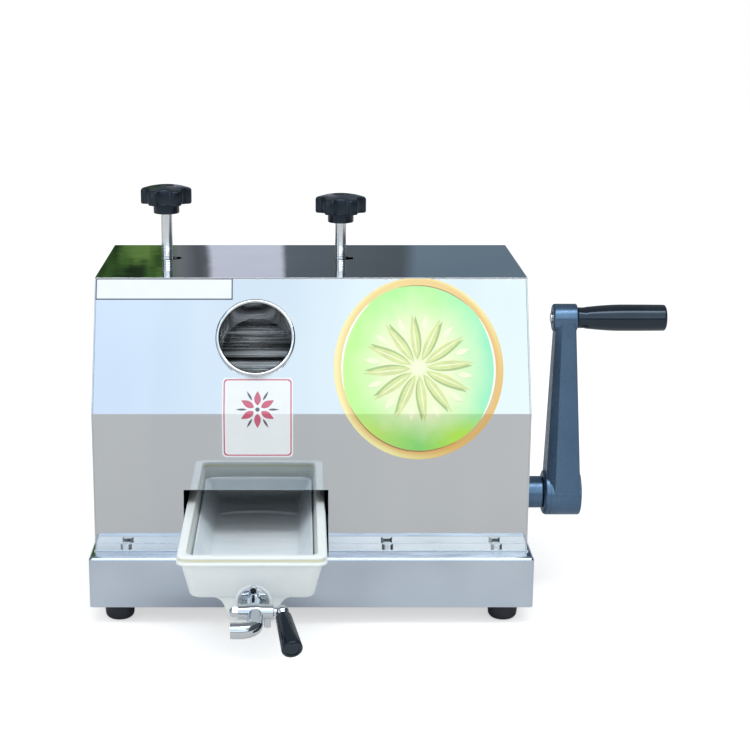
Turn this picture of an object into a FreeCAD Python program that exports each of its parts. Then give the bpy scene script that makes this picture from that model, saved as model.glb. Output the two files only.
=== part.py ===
import FreeCAD, Part
import math
import os
import types

import Sketcher

# A hand-cranked sugarcane mill: a stainless base pan and folded cover, three fluted rollers behind a feed
# tube, a gear train to the crank, two pressure screws over the top roller, and a juice tray with a tap.
# X runs from left to right as seen from the feed side, Y runs to the rear and Z runs up.

doc = FreeCAD.newDocument("sugarcane_juicer")
sheet = doc.addObject("Spreadsheet::Sheet", "sizes")


# Sizes that carry their own sheet expression
class Size:
    """A number together with the sheet expression that gives it."""

    def __init__(self, number, text):
        self.number = float(number)
        self.text = text

    def __add__(self, other):
        other = as_size(other)
        return Size(self.number + other.number, f"({self.text} + {other.text})")

    def __sub__(self, other):
        other = as_size(other)
        return Size(self.number - other.number, f"({self.text} - {other.text})")

    def __mul__(self, factor):
        factor = as_size(factor)
        return Size(self.number * factor.number, f"({self.text} * {factor.text})")

    def __truediv__(self, divisor):
        divisor = as_size(divisor)
        return Size(self.number / divisor.number, f"({self.text} / {divisor.text})")

    def __radd__(self, other):
        return as_size(other) + self

    def __rsub__(self, other):
        return as_size(other) - self

    def __rmul__(self, factor):
        return as_size(factor) * self

    def __rtruediv__(self, other):
        return as_size(other) / self

    def __neg__(self):
        return as_size(0) - self


def as_size(value):
    if isinstance(value, Size):
        return value
    return Size(value, f"({float(value)!r})")


def sine(angle):
    return Size(math.sin(math.radians(angle.number)), f"sin({angle.text})")


def cosine(angle):
    return Size(math.cos(math.radians(angle.number)), f"cos({angle.text})")


def tangent(angle):
    return sine(angle) / cosine(angle)


def group(prefix, **values):
    """Writes one group of driving dimensions into the sheet and hands it back by name."""
    found = types.SimpleNamespace()
    for name, number in values.items():
        row = len(sheet_rows) + 1
        alias = f"{prefix}_{name}"
        sheet_rows.append(alias)
        sheet.set(f"A{row}", alias)
        sheet.set(f"B{row}", str(number))
        sheet.setAlias(f"B{row}", alias)
        setattr(found, name, Size(number, f"sizes.{alias}"))
    return found


sheet_rows = []

machine = group("machine", mid_x=-70.0, front_y=-76.9, foot_high=20.0)
base = group("base", wide=450.0, deep=338.0, high=53.2, sheet=2.0, bend=4.0, lip=50.0)
foot = group("foot", inset_x=28.0, inset_y=26.0, wide=32.0, draft=5.0, edge=6.0, recess=12.0, recess_deep=8.0,
             bolt=6.0)
bed = group("bed", left=-178.0, right=212.0, front=62.0, back=296.0, thick=6.0)
cover = group("cover", wide=445.0, sheet=1.5, front=39.4, ridge=192.7, top=320.2, back=300.0, lean=27.2,
              flange_front=18.8, flange_back=320.0, lip=14.0, screw_hole=22.0, screw_hole_shift=5.0)
cover_bolt = group("cover_bolt", shank=6.0, hex=10.0, head=3.2, front_y=29.5, back_y=310.0, side_x=189.5,
                   inner_x=78.0)
port = group("port", x=-57.0, up_slope=78.6, bore=72.5, lip=81.5, wall=2.0, proud=6.0, inside=56.0)
tray = group("tray", x=-57.0, front=-116.7, back=250.0, rim_wide=143.0, rim_top=96.6, rim_high=9.0,
             rim_thick=3.2, wall=2.5, floor=53.6, top_wide=136.6, floor_wide=118.2, front_in=5.5, corner=10.0,
             sump_back=-4.0, sump_wide=60.5, sump_foot=46.0, sump_floor=28.0, boss=37.0)
slot = group("slot", wide=148.0, x=-56.55, top=112.1)
outlet = group("outlet", wide=150.0, low=216.0, high=292.0, floor_out=30.0, drop=8.0, wall=40.0)
frame = group("frame", left=-156.4, middle=32.7, outer=195.0, thick=16.0, outer_thick=14.0, front=140.0,
              back=290.0, top=292.0, window=52.0, window_low=213.0, arch_low=175.0, arch_high=259.0,
              arch_top=95.0, corner=9.0)
tie = group("tie", rod=13.0, stud=10.0, hex=17.0, nut=7.0, front_y=166.0, back_y=273.0, top_z=268.0,
            low_front_y=149.0, low_back_y=281.0, low_z=112.0)
mill = group("mill", top_y=217.0, top_z=238.0, front_y=177.0, rear_y=257.0, low_z=182.0, radius=32.5,
             left=-146.0, right=23.0, shaft=24.0, flutes=96, flute_deep=1.0, bush=30.0, play=0.05)
block = group("block", wide=51.8, low=217.5, top=259.0)
bridge = group("bridge", high=16.0, bolt_in=20.0, hex=13.0, head=5.5, shank=8.0)
screw = group("screw", wide=12.0, left_hub=370.0, right_hub=360.2, grip=12.0)
knob = group("knob", hub=28.0, hub_high=10.5, wide=55.0, side=16.0, dome=4.2, valley=32.8, valley_wide=22.6,
             lobes=6, recess=17.0, recess_deep=1.4, edge=2.2)
gears = group("gears", roller_module=4.0, roller_teeth=17, roller_x=46.0, roller_wide=20.0,
              drive_module=3.0, main_teeth=68, pinion_teeth=13, main_x=150.0, main_wide=18.0,
              pinion_x=146.0, pinion_wide=26.0, main_hub=46.0, web=8.0, rim=10.0, hole=34.0, backlash=0.5)
crank = group("crank", y=95.5, z=91.9, shaft=20.0, inner_end=22.0, bush=28.0, boss=33.4, boss_end=243.4,
              hub=46.5, hub_left=243.8, hub_right=286.4, hub_edge=4.0, throw=188.0, foot_left=250.6,
              foot_right=282.4, foot_deep=30.0, head_left=251.0, head_right=273.0, head_deep=21.0, bevel=4.0,
              eye=26.0, eye_left=246.8, eye_right=273.5)
grip = group("grip", left=275.0, right=365.0, root=23.0, belly=27.4, tip=25.0, end_round=5.0, spindle=10.0,
             head=15.0, head_high=6.0, recess=17.0, recess_deep=9.0)
tap = group("tap", x=-55.5, z=50.0, face=-111.8, flange=32.0, flange_thick=3.0, neck=17.0, barrel_y=-132.0,
            barrel_z=49.0, barrel=19.0, barrel_left=-78.0, barrel_right=-35.0, plug=12.0, spout=15.4,
            spout_bore=11.0, spout_y=-168.0, spout_end=-74.5, spout_bend=14.0, drop=4.0, shank=13.0,
            shank_in=15.5, lever_x=-28.3, pitch=112.0, splay=9.0)
strainer = group("strainer", wide=110.0, foot_wide=89.0, top=82.0, front=-96.0, back=238.0, thick=1.0,
                 slope=11.0)

doc.recompute()

base_top = base.high
cover_half = cover.wide / 2
cover_inner_half = cover_half - cover.sheet
lean_tan = tangent(cover.lean)


# Helpers shared by the bodies
def bind(thing, prop, value):
    thing.setExpression(prop, as_size(value).text)


def place(thing, x=0, y=0, z=0):
    """Places a piece from the middle of the base's lower front edge."""
    bind(thing, "Placement.Base.x", machine.mid_x + x)
    bind(thing, "Placement.Base.y", machine.front_y + y)
    bind(thing, "Placement.Base.z", machine.foot_high + z)


def new_body(label, x=0, y=0, z=0, turn=None):
    body = doc.addObject("PartDesign::Body", label)
    body.Label = label
    body.AllowCompound = True
    if turn is not None:
        body.Placement = FreeCAD.Placement(FreeCAD.Vector(), turn)
    place(body, x, y, z)
    return body


def origin_part(body, role):
    return next(item for item in body.Origin.OriginFeatures if item.Role == role)


class Drawing:
    """A sketch on one of its body's origin planes, with every point bound to the sheet."""

    def __init__(self, body, plane="XY_Plane", level=0, tilt=None, foot=None):
        self.body = body
        self.outward = -1 if plane == "XZ_Plane" else 1
        self.sketch = body.newObject("Sketcher::SketchObject", f"{body.Name}_drawing")
        self.sketch.AttachmentSupport = [(origin_part(body, plane), "")]
        self.sketch.MapMode = "FlatFace"
        if tilt is not None:
            rotation = FreeCAD.Rotation(FreeCAD.Vector(1, 0, 0), tilt.number)
            self.sketch.AttachmentOffset = FreeCAD.Placement(FreeCAD.Vector(), rotation)
        bind(self.sketch, "AttachmentOffset.Base.z", as_size(level) * self.outward)
        if foot is not None:
            bind(self.sketch, "AttachmentOffset.Base.y", foot)

    def pin(self, geometry, end, x, y):
        for kind, value in (("DistanceX", x), ("DistanceY", y)):
            value = as_size(value)
            row = self.sketch.addConstraint(Sketcher.Constraint(kind, -1, 1, geometry, end, value.number))
            bind(self.sketch, f"Constraints[{row}]", value)

    def outline(self, *points, closing=None):
        """A closed outline; a third value is the radius of the arc that leads to that point."""
        points = [tuple(as_size(value) for value in point) for point in points]
        if closing is not None:
            points[0] += (as_size(closing),)
        ends = []
        for index, point in enumerate(points):
            before = points[index - 1]
            start = FreeCAD.Vector(before[0].number, before[1].number, 0)
            finish = FreeCAD.Vector(point[0].number, point[1].number, 0)
            if len(point) == 2:
                row = self.sketch.addGeometry(Part.LineSegment(start, finish), False)
                ends.append((row, 1, 2))
                continue
            bend = point[2].number
            middle = arc_middle(start, finish, bend)
            arc = Part.Arc(start, middle, finish) if bend > 0 else Part.Arc(finish, middle, start)
            row = self.sketch.addGeometry(arc, False)
            ends.append((row, 1, 2) if bend > 0 else (row, 2, 1))
            radius = self.sketch.addConstraint(Sketcher.Constraint("Radius", row, abs(bend)))
            bind(self.sketch, f"Constraints[{radius}]", point[2] if bend > 0 else -point[2])
        for index, (row, first, last) in enumerate(ends):
            after_row, after_first, after_last = ends[(index + 1) % len(ends)]
            self.sketch.addConstraint(Sketcher.Constraint("Coincident", row, last, after_row, after_first))
            self.pin(row, last, points[index][0], points[index][1])
        return self

    def rectangle(self, left, low, right, high):
        return self.outline((left, low), (right, low), (right, high), (left, high))

    def rounded(self, plan, corner):
        """A rectangle given as left, front, right and back, with round corners."""
        left, low, right, high = plan
        return self.outline(
            (left + corner, low),
            (right - corner, low),
            (right, low + corner, corner),
            (right, high - corner),
            (right - corner, high, corner),
            (left + corner, high),
            (left, high - corner, corner),
            (left, low + corner),
            closing=corner,
        )

    def circle(self, x, y, wide):
        x, y, wide = as_size(x), as_size(y), as_size(wide)
        centre = FreeCAD.Vector(x.number, y.number, 0)
        ring = Part.Circle(centre, FreeCAD.Vector(0, 0, 1), wide.number / 2)
        row = self.sketch.addGeometry(ring, False)
        radius = self.sketch.addConstraint(Sketcher.Constraint("Radius", row, wide.number / 2))
        bind(self.sketch, f"Constraints[{radius}]", wide / 2)
        self.pin(row, 3, x, y)
        return self

    def hexagon(self, x, y, across):
        corner = as_size(across) / math.sqrt(3)
        points = []
        for step in range(6):
            angle = math.radians(60 * step)
            points.append((x + corner * math.cos(angle), y + corner * math.sin(angle)))
        return self.outline(*points)


def arc_middle(start, finish, bend):
    """The point half way along the smaller arc; a positive bend turns to the left."""
    chord = finish - start
    half = chord.Length / 2
    radius = abs(bend)
    rise = radius - math.sqrt(max(radius * radius - half * half, 0))
    side = FreeCAD.Vector(chord.y, -chord.x, 0).normalize() * (1 if bend > 0 else -1)
    return (start + finish) * 0.5 + side * rise


def feature(drawing, kind):
    item = drawing.body.newObject(f"PartDesign::{kind}", f"{drawing.body.Name}_{kind.lower()}")
    item.Profile = drawing.sketch
    return item


def pad(drawing, length, toward=1, both=False, draft=None):
    item = feature(drawing, "Pad")
    bind(item, "Length", length)
    item.Reversed = toward * drawing.outward < 0
    if both:
        item.SideType = "Symmetric"
    if draft is not None:
        bind(item, "TaperAngle", draft)
    return item


def pocket(drawing, depth=None, toward=1):
    """Cuts a drawing out of its body, all the way through when it has no depth."""
    doc.recompute()
    before = drawing.body.Shape.Volume
    item = feature(drawing, "Pocket")
    if depth is None:
        item.Type = "ThroughAll"
    else:
        bind(item, "Length", depth)
    item.Reversed = toward * drawing.outward > 0
    doc.recompute()
    if drawing.body.Shape.Volume > before - 0.1:
        raise RuntimeError(f"{item.Name} cuts nothing")
    return item


def revolve(drawing, axis="X_Axis", cut=False):
    item = feature(drawing, "Groove" if cut else "Revolution")
    item.ReferenceAxis = (origin_part(drawing.body, axis), [""])
    item.Angle = 360
    return item


def loft(first, last, cut=False):
    item = feature(first, "SubtractiveLoft" if cut else "AdditiveLoft")
    item.Sections = [last.sketch]
    item.Ruled = True
    return item


def wedge(body, low, low_z, high, high_z, cut=False):
    """A block with drafted sides between two rectangles, each given as left, front, right and back."""
    item = body.newObject(f"PartDesign::{'SubtractiveWedge' if cut else 'AdditiveWedge'}", f"{body.Name}_wedge")
    item.AttachmentSupport = [(origin_part(body, "XY_Plane"), "")]
    item.MapMode = "FlatFace"
    upright = FreeCAD.Rotation(FreeCAD.Vector(1, 0, 0), 90)
    item.AttachmentOffset = FreeCAD.Placement(FreeCAD.Vector(), upright)
    names = ("Ymin", "Ymax", "Xmin", "Xmax", "Zmin", "Zmax", "X2min", "X2max", "Z2min", "Z2max")
    values = (low_z, high_z, low[0], low[2], -low[3], -low[1], high[0], high[2], -high[3], -high[1])
    for name, value in zip(names, values):
        setattr(item, name, as_size(value).number)
    for name, value in zip(names, values):
        bind(item, name, value)
    return item


def around(body, items, axis, count):
    item = body.newObject("PartDesign::PolarPattern", f"{body.Name}_pattern")
    item.Originals = items
    item.Axis = (origin_part(body, axis), [""])
    item.Angle = 360
    bind(item, "Occurrences", count)
    body.Tip = item
    return item


def soften(body, radius, chosen, kind="Fillet"):
    """Rounds or bevels the edges of the body that the test picks."""
    doc.recompute()
    tip = body.Tip
    names = [f"Edge{index}" for index, edge in enumerate(tip.Shape.Edges, 1) if chosen(edge)]
    item = body.newObject(f"PartDesign::{kind}", f"{body.Name}_{kind.lower()}")
    item.Base = (tip, names)
    bind(item, "Radius" if kind == "Fillet" else "Size", radius)
    return item


def runs_along(edge, axis):
    """True for a straight edge parallel to the named axis."""
    box = edge.BoundBox
    spans = {"x": box.XLength, "y": box.YLength, "z": box.ZLength}
    own = spans.pop(axis)
    return own > 0.1 and max(spans.values()) < 0.01


def lies_at(edge, axis, value, slack=0.01):
    """True for an edge that lies wholly at one coordinate."""
    box = edge.BoundBox
    low = getattr(box, f"{axis.upper()}Min")
    high = getattr(box, f"{axis.upper()}Max")
    return abs(low - value.number) < slack and abs(high - value.number) < slack


# Base pan: one folded sheet, open underneath, with a lip that turns in over the feet
def foot_places():
    side = base.wide / 2 - foot.inset_x
    return [(x, y) for x in (-side, side) for y in (foot.inset_y, base.deep - foot.inset_y)]


def front_bolt_places():
    xs = (-cover_bolt.side_x, cover_bolt.inner_x, cover_bolt.side_x)
    return [(x, cover_bolt.front_y) for x in xs]


def rear_bolt_places():
    xs = (-cover_bolt.side_x, -cover_bolt.inner_x, cover_bolt.inner_x, cover_bolt.side_x)
    return [(x, cover_bolt.back_y) for x in xs]


def frame_bolt_places():
    low_inset = 13
    places = []
    for x in (frame.left, frame.middle, frame.outer):
        places.append((x, frame.front + low_inset))
        places.append((x, frame.back - low_inset if x is not frame.outer else frame.front + 5 * low_inset))
    return places


def base_pan():
    body = new_body("base_pan")
    pad(Drawing(body).rectangle(-base.wide / 2, 0, base.wide / 2, base.deep), base.high)
    soften(body, base.bend, lambda edge: runs_along(edge, "z"))
    soften(body, base.bend, lambda edge: lies_at(edge, "z", base.high))
    inner = base.wide / 2 - base.sheet
    hollow = Drawing(body, level=base.sheet).rectangle(-inner, base.sheet, inner, base.deep - base.sheet)
    pocket(hollow, base.high - 2 * base.sheet)
    mouth = base.wide / 2 - base.lip
    pocket(Drawing(body).rectangle(-mouth, base.lip, mouth, base.deep - base.lip), base.sheet)
    lip_holes = Drawing(body)
    for x, y in foot_places():
        lip_holes.circle(x, y, foot.bolt + 0.6)
    pocket(lip_holes, base.sheet)
    top_holes = Drawing(body, level=base.high - base.sheet)
    for x, y in front_bolt_places() + rear_bolt_places():
        top_holes.circle(x, y, cover_bolt.shank + 0.4)
    for x, y in frame_bolt_places():
        top_holes.circle(x, y, bridge.shank + 0.6)
    pocket(top_holes, base.sheet)


base_pan()


# Bed plate: the steel plate under the pan's top, which the three frames are bolted to
def bed_plate():
    body = new_body("bed_plate", z=base.high - base.sheet - bed.thick)
    pad(Drawing(body).rectangle(bed.left, bed.front, bed.right, bed.back), bed.thick)
    soften(body, frame.corner, lambda edge: runs_along(edge, "z"))
    holes = Drawing(body)
    for x, y in frame_bolt_places():
        holes.circle(x, y, bridge.shank + 0.6)
    pocket(holes, bed.thick)


bed_plate()


# Rubber feet with a countersunk well for their bolts
def rubber_feet():
    body = new_body("rubber_feet")
    blocks = Drawing(body)
    wells = Drawing(body, level=-machine.foot_high)
    bores = Drawing(body)
    for x, y in foot_places():
        blocks.circle(x, y, foot.wide)
        wells.circle(x, y, foot.recess)
        bores.circle(x, y, foot.bolt + 0.4)
    pad(blocks, machine.foot_high, toward=-1, draft=-foot.draft)
    soften(body, foot.edge, lambda edge: lies_at(edge, "z", -machine.foot_high))
    pocket(wells, foot.recess_deep)
    pocket(bores, machine.foot_high, toward=-1)


def foot_bolts():
    body = new_body("foot_bolts")
    heads = Drawing(body, level=foot.recess_deep - machine.foot_high)
    shanks = Drawing(body, level=foot.recess_deep - machine.foot_high)
    nuts = Drawing(body, level=base.sheet)
    for x, y in foot_places():
        heads.circle(x, y, foot.recess - 1)
        shanks.circle(x, y, foot.bolt)
        nuts.hexagon(x, y, cover_bolt.hex)
    pad(heads, foot.recess_deep / 2, toward=-1)
    pad(shanks, machine.foot_high - foot.recess_deep + base.sheet + 8)
    pad(nuts, foot.bolt - 1)


rubber_feet()
foot_bolts()


# Front cover: flange, upright lower panel and leaning upper panel, folded from one sheet
def slope_y(z, inward=0):
    """Y of the leaning panel at a height, moved inwards square to the panel."""
    return cover.front + inward / cosine(cover.lean) + (z - cover.ridge) * lean_tan


def front_cover():
    body = new_body("front_cover")
    sheet_in = cover.sheet
    shelf = cover.top - sheet_in
    shelf_end = slope_y(shelf) + cover.lip
    inner_ridge = cover.ridge + (sheet_in - sheet_in / cosine(cover.lean)) / lean_tan
    profile = Drawing(body, "YZ_Plane")
    profile.outline(
        (cover.flange_front, base_top),
        (cover.front + sheet_in, base_top),
        (cover.front + sheet_in, inner_ridge),
        (slope_y(shelf - sheet_in, sheet_in), shelf - sheet_in),
        (shelf_end, shelf - sheet_in),
        (shelf_end, shelf),
        (slope_y(shelf), shelf),
        (cover.front, cover.ridge),
        (cover.front, base_top + sheet_in),
        (cover.flange_front, base_top + sheet_in),
    )
    pad(profile, cover_inner_half * 2, both=True)
    tray_mouth = Drawing(body, "XZ_Plane")
    tray_mouth.rectangle(slot.x - slot.wide / 2, base_top - 1, slot.x + slot.wide / 2, slot.top)
    pocket(tray_mouth, cover.front + cover.sheet + 1)
    port_hole = Drawing(body, "XZ_Plane", level=cover.front, tilt=-cover.lean, foot=cover.ridge)
    port_hole.circle(port.x, port.up_slope, port.bore + 2 * port.wall + 0.2)
    pocket(port_hole, cover.sheet * 2)
    bolt_holes = Drawing(body, level=base_top)
    for x, y in front_bolt_places():
        bolt_holes.circle(x, y, cover_bolt.shank + 0.4)
    pocket(bolt_holes, cover.sheet)


front_cover()


# Top cover: a flat sheet with lips folded down inside the side covers and two holes for the screws
def top_cover():
    body = new_body("top_cover")
    front = slope_y(cover.top - cover.sheet)
    panel = Drawing(body, level=cover.top - cover.sheet)
    pad(panel.rectangle(-cover_half, front, cover_half, cover.back), cover.sheet)
    lips = Drawing(body, level=cover.top - cover.sheet)
    for side in (-1, 1):
        edges = sorted((side * cover_inner_half, side * (cover_inner_half - cover.sheet)), key=number_of)
        lips.rectangle(edges[0], front + cover.lip * 2, edges[1], cover.back - cover.lip)
    pad(lips, cover.lip, toward=-1)
    holes = Drawing(body, level=cover.top - cover.sheet)
    for x in (frame.left, frame.middle):
        holes.circle(x + cover.screw_hole_shift, mill.top_y, cover.screw_hole)
    pocket(holes, cover.sheet)


def number_of(size):
    return as_size(size).number


top_cover()


# Side covers: flat sheets cut to the cover's outline; the right one lets the crank's boss through
def side_cover(label, side):
    body = new_body(label)
    shelf = cover.top - cover.sheet
    left = cover_inner_half if side > 0 else -cover_half
    plate = Drawing(body, "YZ_Plane", level=left)
    plate.outline(
        (cover.front, base_top),
        (cover.back, base_top),
        (cover.back, shelf),
        (slope_y(shelf), shelf),
        (cover.front, cover.ridge),
    )
    pad(plate, cover.sheet)
    return body


side_cover("left_side_cover", -1)
right_side = side_cover("right_side_cover", 1)
boss_hole = Drawing(right_side, "YZ_Plane", level=cover_inner_half)
pocket(boss_hole.circle(crank.y, crank.z, crank.boss + 0.6), cover.sheet)


# Rear cover: upright panel with its own flange and the outlet for the crushed cane
def rear_cover():
    body = new_body("rear_cover")
    shelf = cover.top - cover.sheet
    profile = Drawing(body, "YZ_Plane")
    profile.outline(
        (cover.back - cover.sheet, base_top),
        (cover.flange_back, base_top),
        (cover.flange_back, base_top + cover.sheet),
        (cover.back, base_top + cover.sheet),
        (cover.back, shelf),
        (cover.back - cover.sheet, shelf),
    )
    pad(profile, cover_inner_half * 2, both=True)
    mouth = Drawing(body, "XZ_Plane", level=cover.back - cover.sheet)
    mouth.rectangle(port.x - outlet.wide / 2, outlet.low, port.x + outlet.wide / 2, outlet.high)
    pocket(mouth, cover.sheet)
    bolt_holes = Drawing(body, level=base_top)
    for x, y in rear_bolt_places():
        bolt_holes.circle(x, y, cover_bolt.shank + 0.4)
    pocket(bolt_holes, cover.sheet)


rear_cover()


# Cover bolts through both flanges into the pan
def cover_bolts():
    body = new_body("cover_bolts")
    seat = base_top + cover.sheet
    heads = Drawing(body, level=seat)
    shanks = Drawing(body, level=seat)
    for x, y in front_bolt_places() + rear_bolt_places():
        heads.hexagon(x, y, cover_bolt.hex)
        shanks.circle(x, y, cover_bolt.shank)
    pad(heads, cover_bolt.head)
    pad(shanks, cover.sheet + base.sheet + 6, toward=-1)


cover_bolts()


# Feed tube: rolled lip outside the leaning panel and a plain tube inside, square to the panel
def feed_tube():
    rise = port.up_slope * cosine(cover.lean)
    turn = FreeCAD.Rotation(FreeCAD.Vector(1, 0, 0), 90 - cover.lean.number)
    body = new_body("feed_tube", port.x, slope_y(cover.ridge + rise), cover.ridge + rise, turn)
    inner = port.bore / 2
    outer = inner + port.wall
    rim = port.lip / 2
    roll = (rim - inner) / 2
    shoulder = port.proud - roll
    profile = Drawing(body, "XZ_Plane")
    profile.outline(
        (inner, -port.inside),
        (outer, -port.inside),
        (outer, 0),
        (rim, 0),
        (rim, shoulder),
        (rim - roll, shoulder + roll, roll),
        (inner, shoulder, roll),
    )
    revolve(profile, "Z_Axis")


feed_tube()


# Outlet chute: a folded tray under the rear opening that drops the crushed cane behind the machine
def outlet_chute():
    body = new_body("outlet_chute")
    half = outlet.wide / 2 - 0.4
    start = mill.rear_y + 16
    end = cover.back + outlet.floor_out
    low = outlet.low + 0.6
    side = Drawing(body, "YZ_Plane", level=port.x)
    side.outline(
        (start, low),
        (cover.back, low),
        (end, low - outlet.drop),
        (end, low - outlet.drop + cover.sheet),
        (end, low + outlet.wall / 2),
        (cover.back, low + outlet.wall),
        (start + 8, low + outlet.wall),
        (start, low + outlet.wall / 2),
    )
    pad(side, half * 2, both=True)
    inside = Drawing(body, "YZ_Plane", level=port.x - half + cover.sheet)
    inside.outline(
        (start - 1, low + cover.sheet),
        (cover.back, low + cover.sheet),
        (end + 1, low + cover.sheet - outlet.drop),
        (end + 1, low + outlet.wall + 1),
        (start - 1, low + outlet.wall + 1),
    )
    pocket(inside, (half - cover.sheet) * 2)


outlet_chute()


# Frames: cast plates with bores for the lower rollers and a window for the top roller's block
def frame_plate(label, x, with_ear):
    body = new_body(label, x=x)
    left = -frame.thick / 2
    plate = Drawing(body, "YZ_Plane", level=left)
    ear_front = crank.y - crank.bush / 2 - 11
    ear = [
        (ear_front, base_top),
        (frame.back, base_top),
        (frame.back, frame.top),
        (frame.front, frame.top),
        (frame.front, crank.z + 52),
        (ear_front, crank.z + 24),
    ]
    plain = [
        (frame.front, base_top),
        (frame.back, base_top),
        (frame.back, frame.top),
        (frame.front, frame.top),
    ]
    plate.outline(*(ear if with_ear else plain))
    pad(plate, frame.thick)
    soften(body, frame.corner, lambda edge: runs_along(edge, "x") and edge.BoundBox.ZMin > base_top.number + 1)
    window = Drawing(body, "YZ_Plane", level=left)
    half = frame.window / 2
    window.rectangle(mill.top_y - half, frame.window_low, mill.top_y + half, frame.top + 1)
    window.rectangle(frame.arch_low, base_top - 1, frame.arch_high, frame.arch_top)
    pocket(window, frame.thick)
    soften(body, frame.corner, lambda edge: runs_along(edge, "x") and lies_at(edge, "z", frame.arch_top))
    bores = Drawing(body, "YZ_Plane", level=left)
    for y in (mill.front_y, mill.rear_y):
        bores.circle(y, mill.low_z, mill.bush)
    if with_ear:
        bores.circle(crank.y, crank.z, crank.bush)
    for y, z in tie_places():
        bores.circle(y, z, tie.stud + 0.4)
    pocket(bores, frame.thick)
    slot_hole = Drawing(body, "YZ_Plane", level=left)
    slot_hole.rectangle(turn_low_y(-1) - 0.1, turn_foot - 0.1, turn_low_y(1) + 0.1, turn_neck + 0.1)
    pocket(slot_hole, frame.thick)
    top_taps = Drawing(body, level=frame.top)
    for y in bridge_bolt_ys():
        top_taps.circle(0, y, bridge.shank)
    pocket(top_taps, bridge.high, toward=-1)
    foot_taps = Drawing(body, level=base_top)
    for bolt_x, y in frame_bolt_places():
        if bolt_x is x:
            foot_taps.circle(0, y, bridge.shank)
    pocket(foot_taps, bridge.high)


def tie_places():
    return [
        (tie.front_y, tie.top_z),
        (tie.back_y, tie.top_z),
        (tie.low_front_y, tie.low_z),
        (tie.low_back_y, tie.low_z),
    ]


def bridge_bolt_ys():
    return (frame.front + bridge.bolt_in, frame.back - bridge.bolt_in)


def turn_low_y(side):
    """Side faces of the turn plate's lower bar."""
    return mill.top_y + side * 6


turn_foot = mill.low_z - 34
turn_neck = mill.low_z - 8

frame_plate("left_frame", frame.left, False)
frame_plate("middle_frame", frame.middle, True)


def outer_frame():
    body = new_body("outer_frame", x=frame.outer)
    left = -frame.outer_thick / 2
    reach = crank.bush / 2 + 11
    plate = Drawing(body, "YZ_Plane", level=left)
    plate.outline(
        (crank.y - reach, base_top),
        (mill.front_y + 2 * reach, base_top),
        (mill.front_y + reach, mill.low_z + reach),
        (mill.front_y - reach, mill.low_z + reach),
        (crank.y - reach, crank.z + reach),
    )
    pad(plate, frame.outer_thick)
    soften(body, frame.corner * 2, lambda edge: runs_along(edge, "x") and edge.BoundBox.ZMin > crank.z.number)
    bores = Drawing(body, "YZ_Plane", level=left)
    bores.circle(mill.front_y, mill.low_z, mill.bush)
    bores.circle(crank.y, crank.z, crank.bush)
    pocket(bores, frame.outer_thick)
    foot_taps = Drawing(body, level=base_top)
    for bolt_x, y in frame_bolt_places():
        if bolt_x is frame.outer:
            foot_taps.circle(0, y, bridge.shank)
    pocket(foot_taps, bridge.high)


outer_frame()


# Frame bolts, from under the bed plate up into the frames
def frame_bolts():
    body = new_body("frame_bolts", z=base.high - base.sheet - bed.thick)
    heads = Drawing(body)
    shanks = Drawing(body)
    for x, y in frame_bolt_places():
        heads.hexagon(x, y, bridge.hex)
        shanks.circle(x, y, bridge.shank)
    pad(heads, bridge.head, toward=-1)
    pad(shanks, bed.thick + base.sheet + bridge.high - 2)


frame_bolts()


# Tie rods between the left and middle frames, with their nuts
def tie_rods():
    body = new_body("tie_rods")
    inner_left = frame.left + frame.thick / 2
    inner_right = frame.middle - frame.thick / 2
    rods = Drawing(body, "YZ_Plane", level=inner_left)
    studs = Drawing(body, "YZ_Plane", level=frame.left - frame.thick / 2 - tie.nut - 3)
    for y, z in tie_places():
        rods.circle(y, z, tie.rod)
        studs.circle(y, z, tie.stud)
    pad(rods, inner_right - inner_left)
    pad(studs, frame.middle - frame.left + frame.thick + 2 * tie.nut + 6)


def tie_nuts():
    body = new_body("tie_nuts")
    for start, toward in ((frame.left - frame.thick / 2, -1), (frame.middle + frame.thick / 2, 1)):
        nuts = Drawing(body, "YZ_Plane", level=start)
        holes = Drawing(body, "YZ_Plane", level=start)
        for y, z in tie_places():
            nuts.hexagon(y, z, tie.hex)
            holes.circle(y, z, tie.stud)
        pad(nuts, tie.nut, toward=toward)
        pocket(holes, tie.nut, toward=toward)


tie_rods()
tie_nuts()


# Bridges over the block windows, with the threads of the pressure screws, and their bolts
def frame_bridge(label, x):
    body = new_body(label, x=x, z=frame.top)
    half = frame.thick / 2
    pad(Drawing(body).rectangle(-half, frame.front, half, frame.back), bridge.high)
    soften(body, frame.corner / 3, lambda edge: lies_at(edge, "z", bridge.high), "Chamfer")
    holes = Drawing(body).circle(0, mill.top_y, screw.wide + 2 * mill.play)
    for y in bridge_bolt_ys():
        holes.circle(0, y, bridge.shank + 0.4)
    pocket(holes, bridge.high)


def bridge_bolts():
    body = new_body("bridge_bolts", z=frame.top + bridge.high)
    heads = Drawing(body)
    shanks = Drawing(body)
    for x in (frame.left, frame.middle):
        for y in bridge_bolt_ys():
            heads.hexagon(x, y, bridge.hex)
            shanks.circle(x, y, bridge.shank)
    pad(heads, bridge.head)
    pad(shanks, bridge.high + bridge.high - 3, toward=-1)


frame_bridge("left_bridge", frame.left)
frame_bridge("right_bridge", frame.middle)
bridge_bolts()


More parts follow.
